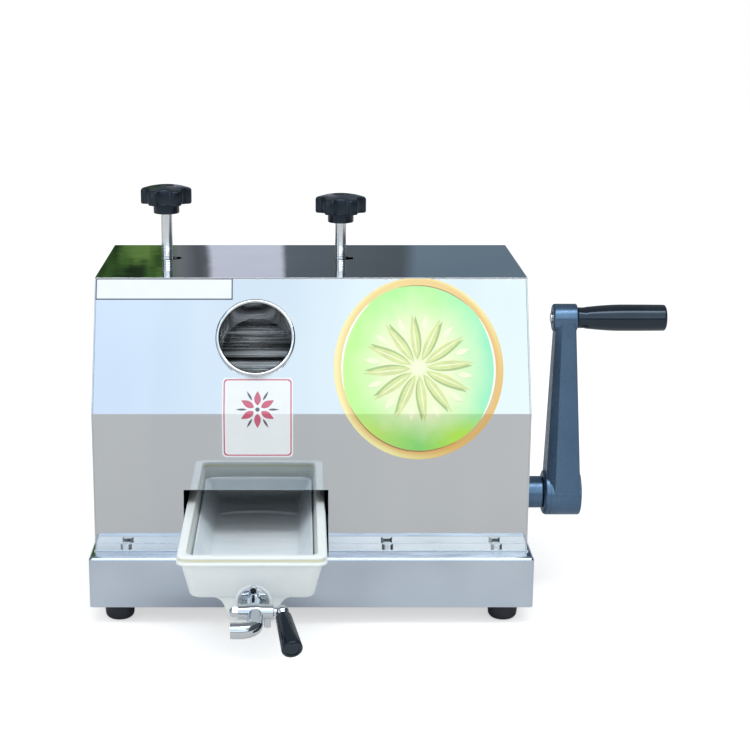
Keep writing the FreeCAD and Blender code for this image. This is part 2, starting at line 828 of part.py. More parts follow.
# Turn plate: hollow-ground bar that lifts the cane from the front nip into the rear one
def turn_plate():
    body = new_body("turn_plate")
    left = frame.left - frame.thick / 2 + 2
    right = frame.middle + frame.thick / 2 - 2
    bar = Drawing(body, "YZ_Plane", level=left)
    bar.rectangle(turn_low_y(-1), turn_foot, turn_low_y(1), turn_neck)
    pad(bar, right - left)
    gap = mill.radius + 1.2
    rise = mill.radius + 6
    shoulder_y = 9.5
    shoulder_z = 15.5
    neck_y = 6.0
    head = Drawing(body, "YZ_Plane", level=mill.left)
    head.outline(
        (mill.top_y - neck_y, turn_neck - 1),
        (mill.top_y + neck_y, turn_neck - 1),
        (mill.top_y + neck_y, mill.low_z),
        (mill.top_y + shoulder_y, mill.low_z + shoulder_z, -gap),
        (mill.top_y - shoulder_y, mill.low_z + shoulder_z, -rise),
        (mill.top_y - neck_y, mill.low_z, -gap),
    )
    pad(head, mill.right - mill.left)


turn_plate()


# Juice guide: a four-sided hopper that gathers the juice of all three rollers into the tray
def juice_guide():
    body = new_body("juice_guide")
    gap = 1.0
    top_z = mill.low_z - mill.radius - 2
    low_z = tray.rim_top + 4
    left = frame.left + frame.thick / 2 + gap
    right = frame.middle - frame.thick / 2 - gap

    def mouth(inward):
        return (left + inward, frame.front + inward, right - inward, frame.back - inward)

    def spout(inward):
        return (left + 22 + inward, frame.front + 26 + inward, right - 14 - inward, frame.back - 47 - inward)

    wedge(body, spout(0), low_z, mouth(0), top_z)
    wedge(body, spout(1.5), low_z, mouth(1.5), top_z, cut=True)


juice_guide()


# Bronze bushes of the lower rollers and of the crank shaft
def bushes(label, places, outer, inner):
    body = new_body(label)
    for x, thick, y, z in places:
        ring = Drawing(body, "YZ_Plane", level=x)
        ring.circle(y, z, outer)
        ring.circle(y, z, inner)
        pad(ring, thick, both=True)


roller_bush_places = [
    (x, frame.thick, y, mill.low_z)
    for x in (frame.left, frame.middle)
    for y in (mill.front_y, mill.rear_y)
]
roller_bush_places.append((frame.outer, frame.outer_thick, mill.front_y, mill.low_z))
crank_bush_places = [
    (frame.middle, frame.thick, crank.y, crank.z),
    (frame.outer, frame.outer_thick, crank.y, crank.z),
]
bushes("roller_bushes", roller_bush_places, mill.bush, mill.shaft + 2 * mill.play)
bushes("crank_bushes", crank_bush_places, crank.bush, crank.shaft + 2 * mill.play)


# Bearing blocks that slide in the frame windows and carry the top roller
def bearing_block(label, x):
    body = new_body(label, x=x)
    plate = Drawing(body, "YZ_Plane", level=-frame.thick / 2)
    half = block.wide / 2
    plate.rectangle(mill.top_y - half, block.low, mill.top_y + half, block.top)
    plate.circle(mill.top_y, mill.top_z, mill.shaft + 2 * mill.play)
    pad(plate, frame.thick)
    soften(body, 2, lambda edge: runs_along(edge, "x"), "Chamfer")


bearing_block("left_bearing_block", frame.left)
bearing_block("right_bearing_block", frame.middle)


# Pressure screws and their star knobs
def pressure_screw(label, x, hub_z):
    body = new_body(label, x=x, y=mill.top_y)
    length = hub_z + screw.grip - block.top
    pad(Drawing(body, level=block.top).circle(0, 0, screw.wide), length)
    soften(body, 1.5, lambda edge: lies_at(edge, "z", block.top), "Chamfer")


def star_knob(label, x, hub_z):
    body = new_body(label, x=x, y=mill.top_y, z=hub_z)
    half = knob.wide / 2
    shoulder = knob.hub_high + knob.side
    crown = shoulder + knob.dome
    # a chord of the dome's arc: half its width squared over twice its rise gives the radius
    dome_radius = (half * half + knob.dome * knob.dome) / (2 * knob.dome)
    profile = Drawing(body, "XZ_Plane")
    profile.outline(
        (0, 0),
        (knob.hub / 2, 0),
        (knob.hub / 2, knob.hub_high),
        (half, knob.hub_high),
        (half, shoulder),
        (0, crown, dome_radius),
    )
    revolve(profile, "Z_Axis")
    valley = Drawing(body, level=knob.hub_high)
    valley.circle(0, -knob.valley, knob.valley_wide)
    around(body, [pocket(valley, knob.side + knob.dome)], "Z_Axis", knob.lobes)
    soften(body, knob.edge, lambda edge: runs_along(edge, "z") and radius_of(edge) > knob.hub.number / 2 + 2)
    well = Drawing(body, level=crown - knob.recess_deep)
    pocket(well.circle(0, 0, knob.recess), knob.dome)
    pocket(Drawing(body).circle(0, 0, screw.wide), screw.grip)


def radius_of(edge):
    middle = edge.BoundBox.Center
    return math.hypot(middle.x, middle.y)


for side, x, hub_z in (("left", frame.left, screw.left_hub), ("right", frame.middle, screw.right_hub)):
    pressure_screw(f"{side}_pressure_screw", x, hub_z)
    star_knob(f"{side}_knob", x, hub_z)


# Fluted rollers, each turned in one piece with its shaft
def fluted_roller(label, y, z, shaft_right):
    body = new_body(label, y=y, z=z)
    shaft = mill.shaft / 2
    shaft_left = frame.left - frame.thick / 2 - 4
    neck = shaft + 4
    profile = Drawing(body, "XZ_Plane")
    profile.outline(
        (shaft_left, 0),
        (shaft_right, 0),
        (shaft_right, shaft),
        (mill.right + 1, shaft),
        (mill.right + 1, neck),
        (mill.right, neck),
        (mill.right, mill.radius),
        (mill.left, mill.radius),
        (mill.left, neck),
        (mill.left - 1.5, neck),
        (mill.left - 1.5, shaft),
        (shaft_left, shaft),
    )
    revolve(profile)
    half_pitch = mill.radius * (math.pi / mill.flutes.number)
    flute = Drawing(body, "YZ_Plane", level=mill.left)
    flute.outline(
        (-half_pitch * 0.85, mill.radius + 0.1),
        (0, mill.radius - mill.flute_deep),
        (half_pitch * 0.85, mill.radius + 0.1),
    )
    around(body, [pocket(flute, mill.right - mill.left)], "X_Axis", mill.flutes)


short_end = gears.roller_x + gears.roller_wide + 3
fluted_roller("top_roller", mill.top_y, mill.top_z, short_end)
fluted_roller("front_roller", mill.front_y, mill.low_z, frame.outer + frame.outer_thick / 2 + 3)
fluted_roller("rear_roller", mill.rear_y, mill.low_z, short_end)


# Gears: involute flanks as arcs through three points, on discs with hubs
def involute_point(base_radius, radius, start_angle, side):
    """Point of an involute at a radius; the flank opens towards the given side."""
    pressure = math.acos(min(base_radius / radius, 1.0))
    angle = start_angle - side * (math.tan(pressure) - pressure)
    return FreeCAD.Vector(0, radius * math.cos(angle), radius * math.sin(angle))


def gear_wire(module, teeth, slack):
    """Outline of a spur gear with its teeth thinned by a slack, in the plane across X."""
    pitch = module * teeth / 2
    tip = pitch + module * 0.94
    root = pitch - module * 1.2
    base_radius = pitch * math.cos(math.radians(20))
    low = max(root, base_radius)
    roll_at_pitch = math.tan(math.radians(20)) - math.radians(20)
    half_tooth = math.pi / (2 * teeth) - slack / (2 * pitch) + roll_at_pitch
    edges = []
    for tooth in range(teeth):
        centre = 2 * math.pi * tooth / teeth
        flanks = []
        for side in (1, -1):
            start = centre + side * half_tooth
            radii = (low, (low + tip) / 2, tip)
            flanks.append([involute_point(base_radius, radius, start, side) for radius in radii])
        right, left = flanks[1], flanks[0]
        ends = []
        for flank, side in ((right, -1), (left, 1)):
            angle = centre + side * half_tooth
            ends.append(FreeCAD.Vector(0, root * math.cos(angle), root * math.sin(angle)))
        following = centre + 2 * math.pi / teeth - half_tooth
        next_root = FreeCAD.Vector(0, root * math.cos(following), root * math.sin(following))
        between = (centre + half_tooth + following) / 2
        valley = FreeCAD.Vector(0, root * math.cos(between), root * math.sin(between))
        if low > root + 0.01:
            edges.append(Part.LineSegment(ends[0], right[0]).toShape())
            edges.append(Part.Arc(*right).toShape())
        else:
            edges.append(Part.Arc(ends[0], right[1], right[2]).toShape())
        edges.append(Part.LineSegment(right[2], left[2]).toShape())
        if low > root + 0.01:
            edges.append(Part.Arc(*reversed(left)).toShape())
            edges.append(Part.LineSegment(left[0], ends[1]).toShape())
        else:
            edges.append(Part.Arc(left[2], left[1], ends[1]).toShape())
        edges.append(Part.Arc(ends[1], valley, next_root).toShape())
    return Part.Wire(edges)


def read(alias):
    """A driving dimension as the sheet holds it."""
    return float(sheet.get(alias))


def along_x(radius, start, length):
    """A cylinder about the X axis."""
    return Part.makeCylinder(radius, length, FreeCAD.Vector(start, 0, 0), FreeCAD.Vector(1, 0, 0))


def spur_gear(label, y, z, module, teeth, start, wide, bore, first_angle, dish=False):
    turn = FreeCAD.Rotation(FreeCAD.Vector(1, 0, 0), first_angle)
    wire = gear_wire(module, int(teeth), read("gears_backlash"))
    wire.translate(FreeCAD.Vector(start, 0, 0))
    solid = Part.Face(wire).extrude(FreeCAD.Vector(wide, 0, 0))
    if dish:
        solid = dished(solid, module * teeth / 2 - module * 1.2, start, wide)
    solid = solid.cut(along_x(bore / 2, start - 20, wide + 40))
    item = doc.addObject("Part::Feature", label)
    item.Label = label
    item.Shape = solid
    item.Placement = FreeCAD.Placement(FreeCAD.Vector(), turn)
    place(item, 0, y, z)


def dished(solid, root, start, wide):
    """Thins the web of a large gear, drills it and gives it a longer hub."""
    rim = root - read("gears_rim")
    hub = read("gears_main_hub") / 2
    web = read("gears_web")
    cheek = (wide - web) / 2
    for side in (start, start + wide - cheek):
        ring = along_x(rim, side, cheek).cut(along_x(hub, side, cheek))
        solid = solid.cut(ring)
    hole = read("gears_hole")
    middle = (rim + hub) / 2
    for step in range(6):
        angle = math.radians(60 * step)
        drill = along_x(hole / 2, start, wide)
        drill.translate(FreeCAD.Vector(0, middle * math.cos(angle), middle * math.sin(angle)))
        solid = solid.cut(drill)
    return solid.fuse(along_x(hub, start - 6, wide + 12))


def gear_train():
    module = read("gears_roller_module")
    teeth = read("gears_roller_teeth")
    start = read("gears_roller_x")
    wide = read("gears_roller_wide")
    bore = read("mill_shaft")
    slope = math.degrees(math.atan2(mill.top_z.number - mill.low_z.number, mill.top_y.number - mill.front_y.number))
    half_step = 180 / teeth
    # the top gear has a tooth on each line of centres only if the two lines are whole steps apart
    lines_apart = 180 - 2 * slope
    front_line = 180 + slope
    spur_gear("top_roller_gear", mill.top_y, mill.top_z, module, teeth, start, wide, bore, front_line)
    spur_gear("front_roller_gear", mill.front_y, mill.low_z, module, teeth, start, wide, bore, slope + half_step)
    rear_phase = 180 - slope + (lines_apart % (360 / teeth)) + half_step
    spur_gear("rear_roller_gear", mill.rear_y, mill.low_z, module, teeth, start, wide, bore, rear_phase)
    drive = read("gears_drive_module")
    main = read("gears_main_teeth")
    pinion = read("gears_pinion_teeth")
    rise = math.degrees(math.atan2(mill.low_z.number - crank.z.number, mill.front_y.number - crank.y.number))
    spur_gear("main_gear", mill.front_y, mill.low_z, drive, main, read("gears_main_x"),
              read("gears_main_wide"), bore, 180 + rise, dish=True)
    spur_gear("drive_pinion", crank.y, crank.z, drive, pinion, read("gears_pinion_x"),
              read("gears_pinion_wide"), read("crank_shaft"), rise + 180 / pinion)


gear_train()


# Crank shaft, its fixed boss, the crank itself and the bolt that holds it
def crank_shaft():
    body = new_body("crank_shaft", y=crank.y, z=crank.z)
    start = crank.inner_end
    pad(Drawing(body, "YZ_Plane", level=start).circle(0, 0, crank.shaft), crank.hub_right - 3 - start)
    soften(body, 1.5, lambda edge: lies_at(edge, "x", crank.inner_end), "Chamfer")


def crank_boss():
    body = new_body("crank_boss", y=crank.y, z=crank.z)
    start = frame.outer + frame.outer_thick / 2
    ring = Drawing(body, "YZ_Plane", level=start).circle(0, 0, crank.boss)
    ring.circle(0, 0, crank.shaft + 2 * mill.play)
    pad(ring, crank.boss_end - start)
    soften(body, 1.2, lambda edge: lies_at(edge, "x", crank.boss_end))


def bevelled(body, z, left, right, deep):
    """Eight-sided section of the crank arm."""
    half = deep / 2
    cut = crank.bevel
    return Drawing(body, level=z).outline(
        (left + cut, -half),
        (right - cut, -half),
        (right, -half + cut),
        (right, half - cut),
        (right - cut, half),
        (left + cut, half),
        (left, half - cut),
        (left, -half + cut),
    )


def crank_arm():
    body = new_body("crank_arm", y=crank.y, z=crank.z)
    low = bevelled(body, 0, crank.foot_left, crank.foot_right, crank.foot_deep)
    high = bevelled(body, crank.throw, crank.head_left, crank.head_right, crank.head_deep)
    loft(low, high)
    hub = Drawing(body, "YZ_Plane", level=crank.hub_left).circle(0, 0, crank.hub)
    pad(hub, crank.hub_right - crank.hub_left)
    eye = Drawing(body, "YZ_Plane", level=crank.eye_left).circle(0, crank.throw, crank.eye)
    pad(eye, crank.eye_right - crank.eye_left)
    soften(body, crank.hub_edge, lambda edge: full_circle(edge, crank.hub))
    soften(body, 2.5, lambda edge: full_circle(edge, crank.eye))
    bores = Drawing(body, "YZ_Plane", level=crank.hub_left)
    bores.circle(0, 0, crank.shaft)
    pocket(bores, crank.hub_right - crank.hub_left)
    eye_bore = Drawing(body, "YZ_Plane", level=crank.eye_left).circle(0, crank.throw, grip.spindle)
    pocket(eye_bore, crank.eye_right - crank.eye_left)


def full_circle(edge, wide):
    """True for a whole circle of the given width about an axis along X."""
    box = edge.BoundBox
    flat = box.XLength < 0.01
    return flat and abs(box.YLength - wide.number) < 0.01 and abs(box.ZLength - wide.number) < 0.01


def crank_bolt():
    body = new_body("crank_bolt", y=crank.y, z=crank.z)
    face = crank.hub_right
    pad(Drawing(body, "YZ_Plane", level=face).circle(0, 0, crank.shaft + 8), 2)
    pad(Drawing(body, "YZ_Plane", level=face + 2).hexagon(0, 0, bridge.hex), bridge.head)
    pad(Drawing(body, "YZ_Plane", level=face).circle(0, 0, bridge.shank), 3, toward=-1)


crank_shaft()
crank_boss()
crank_arm()
crank_bolt()


# Spindle and revolving grip
def grip_spindle():
    body = new_body("grip_spindle", y=crank.y, z=crank.z + crank.throw)
    start = crank.eye_left - 0.6
    head = grip.right - grip.recess_deep
    pad(Drawing(body, "YZ_Plane", level=start).circle(0, 0, grip.spindle), head - start)
    pad(Drawing(body, "YZ_Plane", level=head + 0.2).circle(0, 0, grip.head), grip.head_high)
    pad(Drawing(body, "YZ_Plane", level=head - 0.1).circle(0, 0, grip.spindle), 0.4)
    socket = Drawing(body, "YZ_Plane", level=head + grip.head_high + 0.2).hexagon(0, 0, grip.spindle * 0.6)
    pocket(socket, grip.head_high / 2, toward=-1)


def crank_grip():
    body = new_body("crank_grip", y=crank.y, z=crank.z + crank.throw)
    bore = grip.spindle / 2 + mill.play
    well = grip.recess / 2
    floor = grip.right - grip.recess_deep
    middle = (grip.left + grip.right) / 2
    neck = grip.left + 7
    belly_bend = 260
    profile = Drawing(body, "XZ_Plane")
    profile.outline(
        (grip.left, bore),
        (floor, bore),
        (floor, well),
        (grip.right, well),
        (grip.right, grip.tip / 2 - grip.end_round),
        (grip.right - grip.end_round, grip.tip / 2, grip.end_round),
        (middle, grip.belly / 2, belly_bend),
        (neck, grip.root / 2, belly_bend),
        (grip.left, grip.root / 2),
    )
    revolve(profile)


grip_spindle()
crank_grip()


# Juice tray: moulded box with a rim, drafted walls and a sump that hangs in front of the base
def tray_plan(front, back, wide, inward=0):
    """Left, front, right and back of one level of the tray."""
    half = wide / 2 - inward
    return (tray.x - half, front + inward, tray.x + half, back - inward)


def drafted_front(z):
    """Y of the tray's front wall at a height."""
    slope = tray.front_in / (tray.rim_top - tray.rim_high - tray.floor)
    return tray.front + 2.2 + (tray.rim_top - tray.rim_high - z) * slope


tap_seat = tap.face + 8.6


def drafted(body, low, high, cut=False):
    """A block between two round-cornered levels, each given as height, plan and corner radius."""
    sections = [Drawing(body, level=z).rounded(plan, corner) for z, plan, corner in (low, high)]
    return loft(*sections, cut=cut)


def juice_tray():
    body = new_body("juice_tray")
    top = tray.rim_top
    bend = tray.corner / 2
    wall = tray.wall
    low_back = tray.back - 7
    top_back = tray.back - 2.2
    side_slope = (tray.top_wide - tray.floor_wide) / (top - tray.rim_high - tray.floor)
    brim_wide = tray.top_wide + tray.rim_high * side_slope
    knee = tray.floor + bend

    def level(z, inward=0):
        """Plan of the tray's drafted walls at a height."""
        rise = (z - tray.floor) / (top - tray.floor)
        back = low_back + (top_back - low_back) * rise
        return tray_plan(drafted_front(z), back, tray.floor_wide + (brim_wide - tray.floor_wide) * rise, inward)

    def sump_level(z, inward=0):
        rise = (z - tray.sump_floor) / (knee - tray.sump_floor)
        wide = tray.sump_foot + (tray.sump_wide - tray.sump_foot) * rise
        return tray_plan(drafted_front(z), tray.sump_back - 3 + rise * 3, wide, inward)

    corner = tray.corner
    inner = corner - wall
    drafted(body, (tray.floor, level(tray.floor, bend / 2), corner), (knee, level(knee), corner))
    drafted(body, (knee, level(knee), corner), (top, level(top), corner))
    drafted(body, (tray.sump_floor, sump_level(tray.sump_floor), bend), (knee, sump_level(knee), bend))
    rim = tray_plan(tray.front, tray.back, tray.rim_wide)
    pad(Drawing(body, level=top - tray.rim_high).rounded(rim, corner), tray.rim_high)
    soften(body, 1.4, lambda edge: lies_at(edge, "z", top))
    pad(Drawing(body, "XZ_Plane", level=tap.face).circle(tap.x, tap.z, tray.boss), 6)
    doc.recompute()
    floor = tray.floor + wall
    drafted(body, (floor, level(floor, wall + bend / 3), inner), (knee, level(knee, wall), inner), cut=True)
    drafted(body, (knee, level(knee, wall), inner), (top, level(top, wall), inner), cut=True)
    sump_floor = tray.sump_floor + wall
    drafted(body, (sump_floor, sump_level(sump_floor, wall), wall), (knee, sump_level(knee, wall), wall), cut=True)
    pad(Drawing(body, "XZ_Plane", level=tap_seat).circle(tap.x, tap.z, tray.boss * 0.8), 5, toward=-1)
    tap_hole = Drawing(body, "XZ_Plane", level=tap.face).circle(tap.x, tap.z, tap.shank + 0.4)
    pocket(tap_hole, 14)


juice_tray()


# Strainer: shallow basket of fine mesh that lies in the tray
def strainer_basket():
    body = new_body("strainer")
    low_z = tray.floor + tray.wall + 0.3

    def plan(wide, ends, inward):
        half = wide / 2 - inward
        front = strainer.front + ends + inward
        return (tray.x - half, front, tray.x + half, strainer.back - ends - inward)

    slope_in = strainer.slope
    thick = strainer.thick
    wedge(body, plan(strainer.foot_wide, slope_in, 0), low_z, plan(strainer.wide, 0, 0), strainer.top)
    wedge(body, plan(strainer.foot_wide, slope_in, thick), low_z + thick,
          plan(strainer.wide, 0, thick), strainer.top + 0.2, cut=True)


strainer_basket()


# Tap: body with flange, barrel and bent spout, and its washer and nuts
def tap_body():
    body = new_body("tap_body")
    face = tap.face
    pad(Drawing(body, "XZ_Plane", level=face).circle(tap.x, tap.z, tap.flange), tap.flange_thick, toward=-1)
    soften(body, 1.2, lambda edge: lies_at(edge, "y", face - tap.flange_thick))
    pad(Drawing(body, "XZ_Plane", level=face).circle(tap.x, tap.z, tap.neck), face - tap.barrel_y, toward=-1)
    pad(Drawing(body, "XZ_Plane", level=face).circle(tap.x, tap.z, tap.shank), tap.shank_in)
    barrel = Drawing(body, "YZ_Plane", level=tap.barrel_left).circle(tap.barrel_y, tap.barrel_z, tap.barrel)
    pad(barrel, tap.barrel_right - tap.barrel_left)
    doc.recompute()
    spout_pipe(body, "AdditivePipe", tap.spout)
    doc.recompute()
    spout_pipe(body, "SubtractivePipe", tap.spout_bore)
    bore = Drawing(body, "YZ_Plane", level=tap.barrel_left).circle(tap.barrel_y, tap.barrel_z,
                                                                   tap.plug + 2 * mill.play)
    pocket(bore, tap.barrel_right - tap.barrel_left)
    inlet = Drawing(body, "XZ_Plane", level=tap.barrel_y).circle(tap.x, tap.z, tap.plug * 0.6)
    pocket(inlet, face + tap.shank_in - tap.barrel_y)


def spout_pipe(body, kind, wide):
    """The spout: forward from the barrel, then a bend to the left."""
    root_x = tap.x + 1
    level = tap.barrel_z - tap.drop
    start_y = tap.barrel_y - 3
    bend_y = tap.spout_y + tap.spout_bend
    path = Drawing(body, level=level)
    lines = [
        ((root_x, start_y), (root_x, bend_y), None),
        ((root_x, bend_y), (root_x - tap.spout_bend, tap.spout_y), -tap.spout_bend),
        ((root_x - tap.spout_bend, tap.spout_y), (tap.spout_end, tap.spout_y), None),
    ]
    for start, finish, bend in lines:
        a = FreeCAD.Vector(start[0].number, start[1].number, 0)
        b = FreeCAD.Vector(finish[0].number, finish[1].number, 0)
        if bend is None:
            row = path.sketch.addGeometry(Part.LineSegment(a, b), False)
            path.pin(row, 1, *start)
            path.pin(row, 2, *finish)
            continue
        row = path.sketch.addGeometry(Part.Arc(b, arc_middle(a, b, bend.number), a), False)
        radius = path.sketch.addConstraint(Sketcher.Constraint("Radius", row, -bend.number))
        bind(path.sketch, f"Constraints[{radius}]", -bend)
        path.pin(row, 2, *start)
        path.pin(row, 1, *finish)
    ring = Drawing(body, "XZ_Plane", level=start_y).circle(root_x, level, wide)
    item = feature(ring, kind)
    item.Spine = (path.sketch, [])


def tap_washer():
    body = new_body("tap_washer")
    ring = Drawing(body, "XZ_Plane", level=tap_seat).circle(tap.x, tap.z, tap.flange * 0.8)
    ring.circle(tap.x, tap.z, tap.shank)
    pad(ring, 2)


def tap_lock_nut():
    body = new_body("tap_lock_nut")
    nut = Drawing(body, "XZ_Plane", level=tap_seat + 2).hexagon(tap.x, tap.z, tap.shank * 1.6)
    nut.circle(tap.x, tap.z, tap.shank)
    pad(nut, 4)


tap_body()
tap_washer()
tap_lock_nut()


# Tap plug with its retaining nut, the chrome lever and its black grip
def tap_plug():
    body = new_body("tap_plug")
    rod = Drawing(body, "YZ_Plane", level=tap.barrel_left - 5).circle(tap.barrel_y, tap.barrel_z, tap.plug)
    pad(rod, tap.barrel_right - tap.barrel_left + 5.2)
    port_hole = Drawing(body, "XZ_Plane", level=tap.barrel_y - tap.plug).circle(tap.x, tap.barrel_z, tap.plug * 0.55)
    pocket(port_hole, tap.plug * 2)


def tap_plug_nut():
    body = new_body("tap_plug_nut")
    start = tap.barrel_left - 0.2
    pad(Drawing(body, "YZ_Plane", level=start).hexagon(tap.barrel_y, tap.barrel_z, tap.barrel - 3), 5, toward=-1)
    soften(body, 1, lambda edge: lies_at(edge, "x", start - 5) and not full_circle(edge, tap.plug), "Chamfer")
    hole = Drawing(body, "YZ_Plane", level=start).circle(tap.barrel_y, tap.barrel_z, tap.plug)
    pocket(hole, 5, toward=-1)


def lever_turn():
    forward = FreeCAD.Rotation(FreeCAD.Vector(1, 0, 0), tap.pitch.number)
    return forward * FreeCAD.Rotation(FreeCAD.Vector(0, 1, 0), tap.splay.number)


def tap_lever():
    body = new_body("tap_lever", tap.lever_x, tap.barrel_y, tap.barrel_z, lever_turn())
    profile = Drawing(body, "XZ_Plane")
    profile.outline(
        (0, -6.5),
        (4.6, -4.6, 6.5),
        (6.5, 0, 6.5),
        (5.2, 4.0, 6.5),
        (4.0, 7.0),
        (4.0, 26.0),
        (0, 26.0),
    )
    revolve(profile, "Z_Axis")


def tap_grip():
    body = new_body("tap_grip", tap.lever_x, tap.barrel_y, tap.barrel_z, lever_turn())
    start = 7.0
    end = 55.5
    nose = 8.0
    profile = Drawing(body, "XZ_Plane")
    profile.outline(
        (4.0, start),
        (7.0, start),
        (9.2, end - nose),
        (9.2 - nose + 2, end, nose),
        (0, end),
        (0, 26.0),
        (4.0, 26.0),
    )
    revolve(profile, "Z_Axis")


tap_plug()
tap_plug_nut()
tap_lever()
tap_grip()


# Checks and export of every piece
doc.recompute()
os.makedirs("parts", exist_ok=True)
pieces = [item for item in doc.Objects if item.TypeId == "PartDesign::Body"]
pieces += [item for item in doc.Objects if item.TypeId == "Part::Feature"]
for item in doc.Objects:
    if "Invalid" in item.State or "Error" in item.State:
        raise RuntimeError(f"{item.Label} failed: {item.State}")
whole = FreeCAD.BoundBox()
for piece in pieces:
    if piece.Shape.isNull() or not piece.Shape.isValid():
        raise RuntimeError(f"{piece.Label} has no valid shape")
    whole.add(piece.Shape.BoundBox)
for piece in pieces:
    piece.Shape.exportStep(f"parts/{piece.Label}.step")
print(f"{len(pieces)} pieces, overall {whole.XLength:.1f} x {whole.YLength:.1f} x {whole.ZLength:.1f} mm")
print(f"middle at {whole.Center.x:.2f}, {whole.Center.y:.2f}, lowest {whole.ZMin:.2f}")
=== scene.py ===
import math

import bmesh
import bpy
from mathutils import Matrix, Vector, noise


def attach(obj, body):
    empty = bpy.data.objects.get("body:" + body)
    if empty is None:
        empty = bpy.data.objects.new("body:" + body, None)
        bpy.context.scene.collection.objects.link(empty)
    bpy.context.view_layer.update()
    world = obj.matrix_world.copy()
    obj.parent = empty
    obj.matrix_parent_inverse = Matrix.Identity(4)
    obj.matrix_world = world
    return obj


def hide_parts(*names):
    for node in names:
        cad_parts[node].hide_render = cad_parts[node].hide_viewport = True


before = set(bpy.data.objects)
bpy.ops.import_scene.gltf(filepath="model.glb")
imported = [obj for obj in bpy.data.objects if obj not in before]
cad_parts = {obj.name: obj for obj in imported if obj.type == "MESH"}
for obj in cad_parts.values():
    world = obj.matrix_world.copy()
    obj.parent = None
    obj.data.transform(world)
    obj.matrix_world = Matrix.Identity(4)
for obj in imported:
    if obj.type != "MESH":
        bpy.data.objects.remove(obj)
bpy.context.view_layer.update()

scene = bpy.context.scene
scene.view_settings.view_transform = "Standard"

# The photographer's stand: a long lens a little above the machine, looking down at it from 1.7 m
# away, with the picture's middle a hand's width to the right of where the lens points.
camera = bpy.data.objects.new("camera", bpy.data.cameras.new("camera"))
camera.location = (-0.0820, -1.6871, 0.6715)
camera.rotation_euler = (math.radians(90 - 14.225), 0, 0)
camera.data.lens = 81.36
camera.data.sensor_width = 36
camera.data.shift_x = 0.1006
scene.collection.objects.link(camera)
scene.camera = camera


def node(tree, kind, inputs=None, **settings):
    """One shader node; an input is a number, a colour or another node's output."""
    made = tree.nodes.new("ShaderNode" + kind)
    for name, value in settings.items():
        setattr(made, name, value)
    for name, value in (inputs or {}).items():
        if isinstance(value, bpy.types.NodeSocket):
            tree.links.new(value, made.inputs[name])
        else:
            made.inputs[name].default_value = value
    return made


def shades(tree, place, *stops):
    """A row of colours along a number: each stop is where it stands and its colour."""
    low, high = stops[0][0], stops[-1][0]
    made = node(tree, "ValToRGB", {"Fac": node(tree, "MapRange", {
        "Value": place, "From Min": low, "From Max": high}).outputs["Result"]})
    row = made.color_ramp.elements
    row.remove(row[1])
    for index, (where, colour) in enumerate(stops):
        stop = row[0] if index == 0 else row.new((where - low) / (high - low))
        stop.position = (where - low) / (high - low)
        stop.color = (*colour, 1)
    return made.outputs["Color"]


def mix(tree, share, first, second):
    """One colour passing into another as the share goes from 0 to 1."""
    inputs = {"Factor": share}
    for name, colour in (("A", first), ("B", second)):
        inputs[name] = (*colour, 1) if isinstance(colour, tuple) else colour
    return node(tree, "Mix", inputs, data_type="RGBA").outputs["Result"]


def between(tree, value, low, high, low_out=0.0, high_out=1.0):
    """A number moved from one span to another, and held at its ends."""
    return node(tree, "MapRange", {"Value": value, "From Min": low, "From Max": high, "To Min": low_out,
                                   "To Max": high_out}).outputs["Result"]


# The studio, as polished steel sees it: a bright bluish window wall low in front with a dark rail
# above it, a big softbox over that, dim sides, and a planted wall with a pale doorway behind.
studio = bpy.data.worlds.new("studio")
scene.world = studio
studio.use_nodes = True
air = studio.node_tree
air.nodes.clear()
toward = node(air, "TexCoord").outputs["Generated"]
across = node(air, "SeparateXYZ", {"Vector": toward})
rightward, forward, upward = across.outputs["X"], across.outputs["Y"], across.outputs["Z"]


def front_wall(low, high, glare, over_rail, top, first_sky, last_sky):
    """What stands in front, from the floor through the windows and the dark rail to the ceiling."""
    rail, gap, ceiling = (0.30, 0.34, 0.42), (0.10, 0.11, 0.13), (0.30, 0.34, 0.40)
    return shades(air, upward, (-0.20, (0.74, 0.77, 0.80)), (-0.04, (0.80, 0.83, 0.86)), (-0.02, gap),
                  (0.06, (0.14, 0.15, 0.18)), (0.08, low), (0.24, high), (0.32, glare), (0.345, glare),
                  (0.352, rail), (0.360, rail), (0.367, over_rail), (0.40, top), (0.415, gap),
                  (0.46, (0.12, 0.13, 0.16)), (0.48, first_sky), (0.80, last_sky), (0.90, ceiling),
                  (1.0, (0.26, 0.28, 0.30)))


front_left = front_wall((0.95, 1.08, 1.22), (1.10, 1.26, 1.42), (1.66, 1.86, 2.02), (1.45, 1.62, 1.78),
                        (1.30, 1.46, 1.60), (0.40, 0.60, 0.84), (0.36, 0.58, 0.88))
front_right = front_wall((1.05, 1.16, 1.26), (1.20, 1.34, 1.46), (1.78, 1.95, 2.08), (1.55, 1.70, 1.82),
                         (1.40, 1.54, 1.64), (0.66, 0.84, 0.90), (0.72, 0.92, 0.94))
haze = node(air, "TexNoise", {"Vector": toward, "Scale": 5.0, "Detail": 2.0}).outputs["Fac"]
drift = node(air, "Math", {0: haze, 1: 0.16, 2: rightward}, operation="MULTIPLY_ADD").outputs[0]
front = mix(air, between(air, drift, -0.02, 0.16), front_left, front_right)
leaves = node(air, "TexNoise", {"Vector": toward, "Scale": 26.0, "Detail": 3.0}).outputs["Fac"]
edge = node(air, "Math", {0: leaves, 1: 0.010, 2: rightward}, operation="MULTIPLY_ADD").outputs[0]
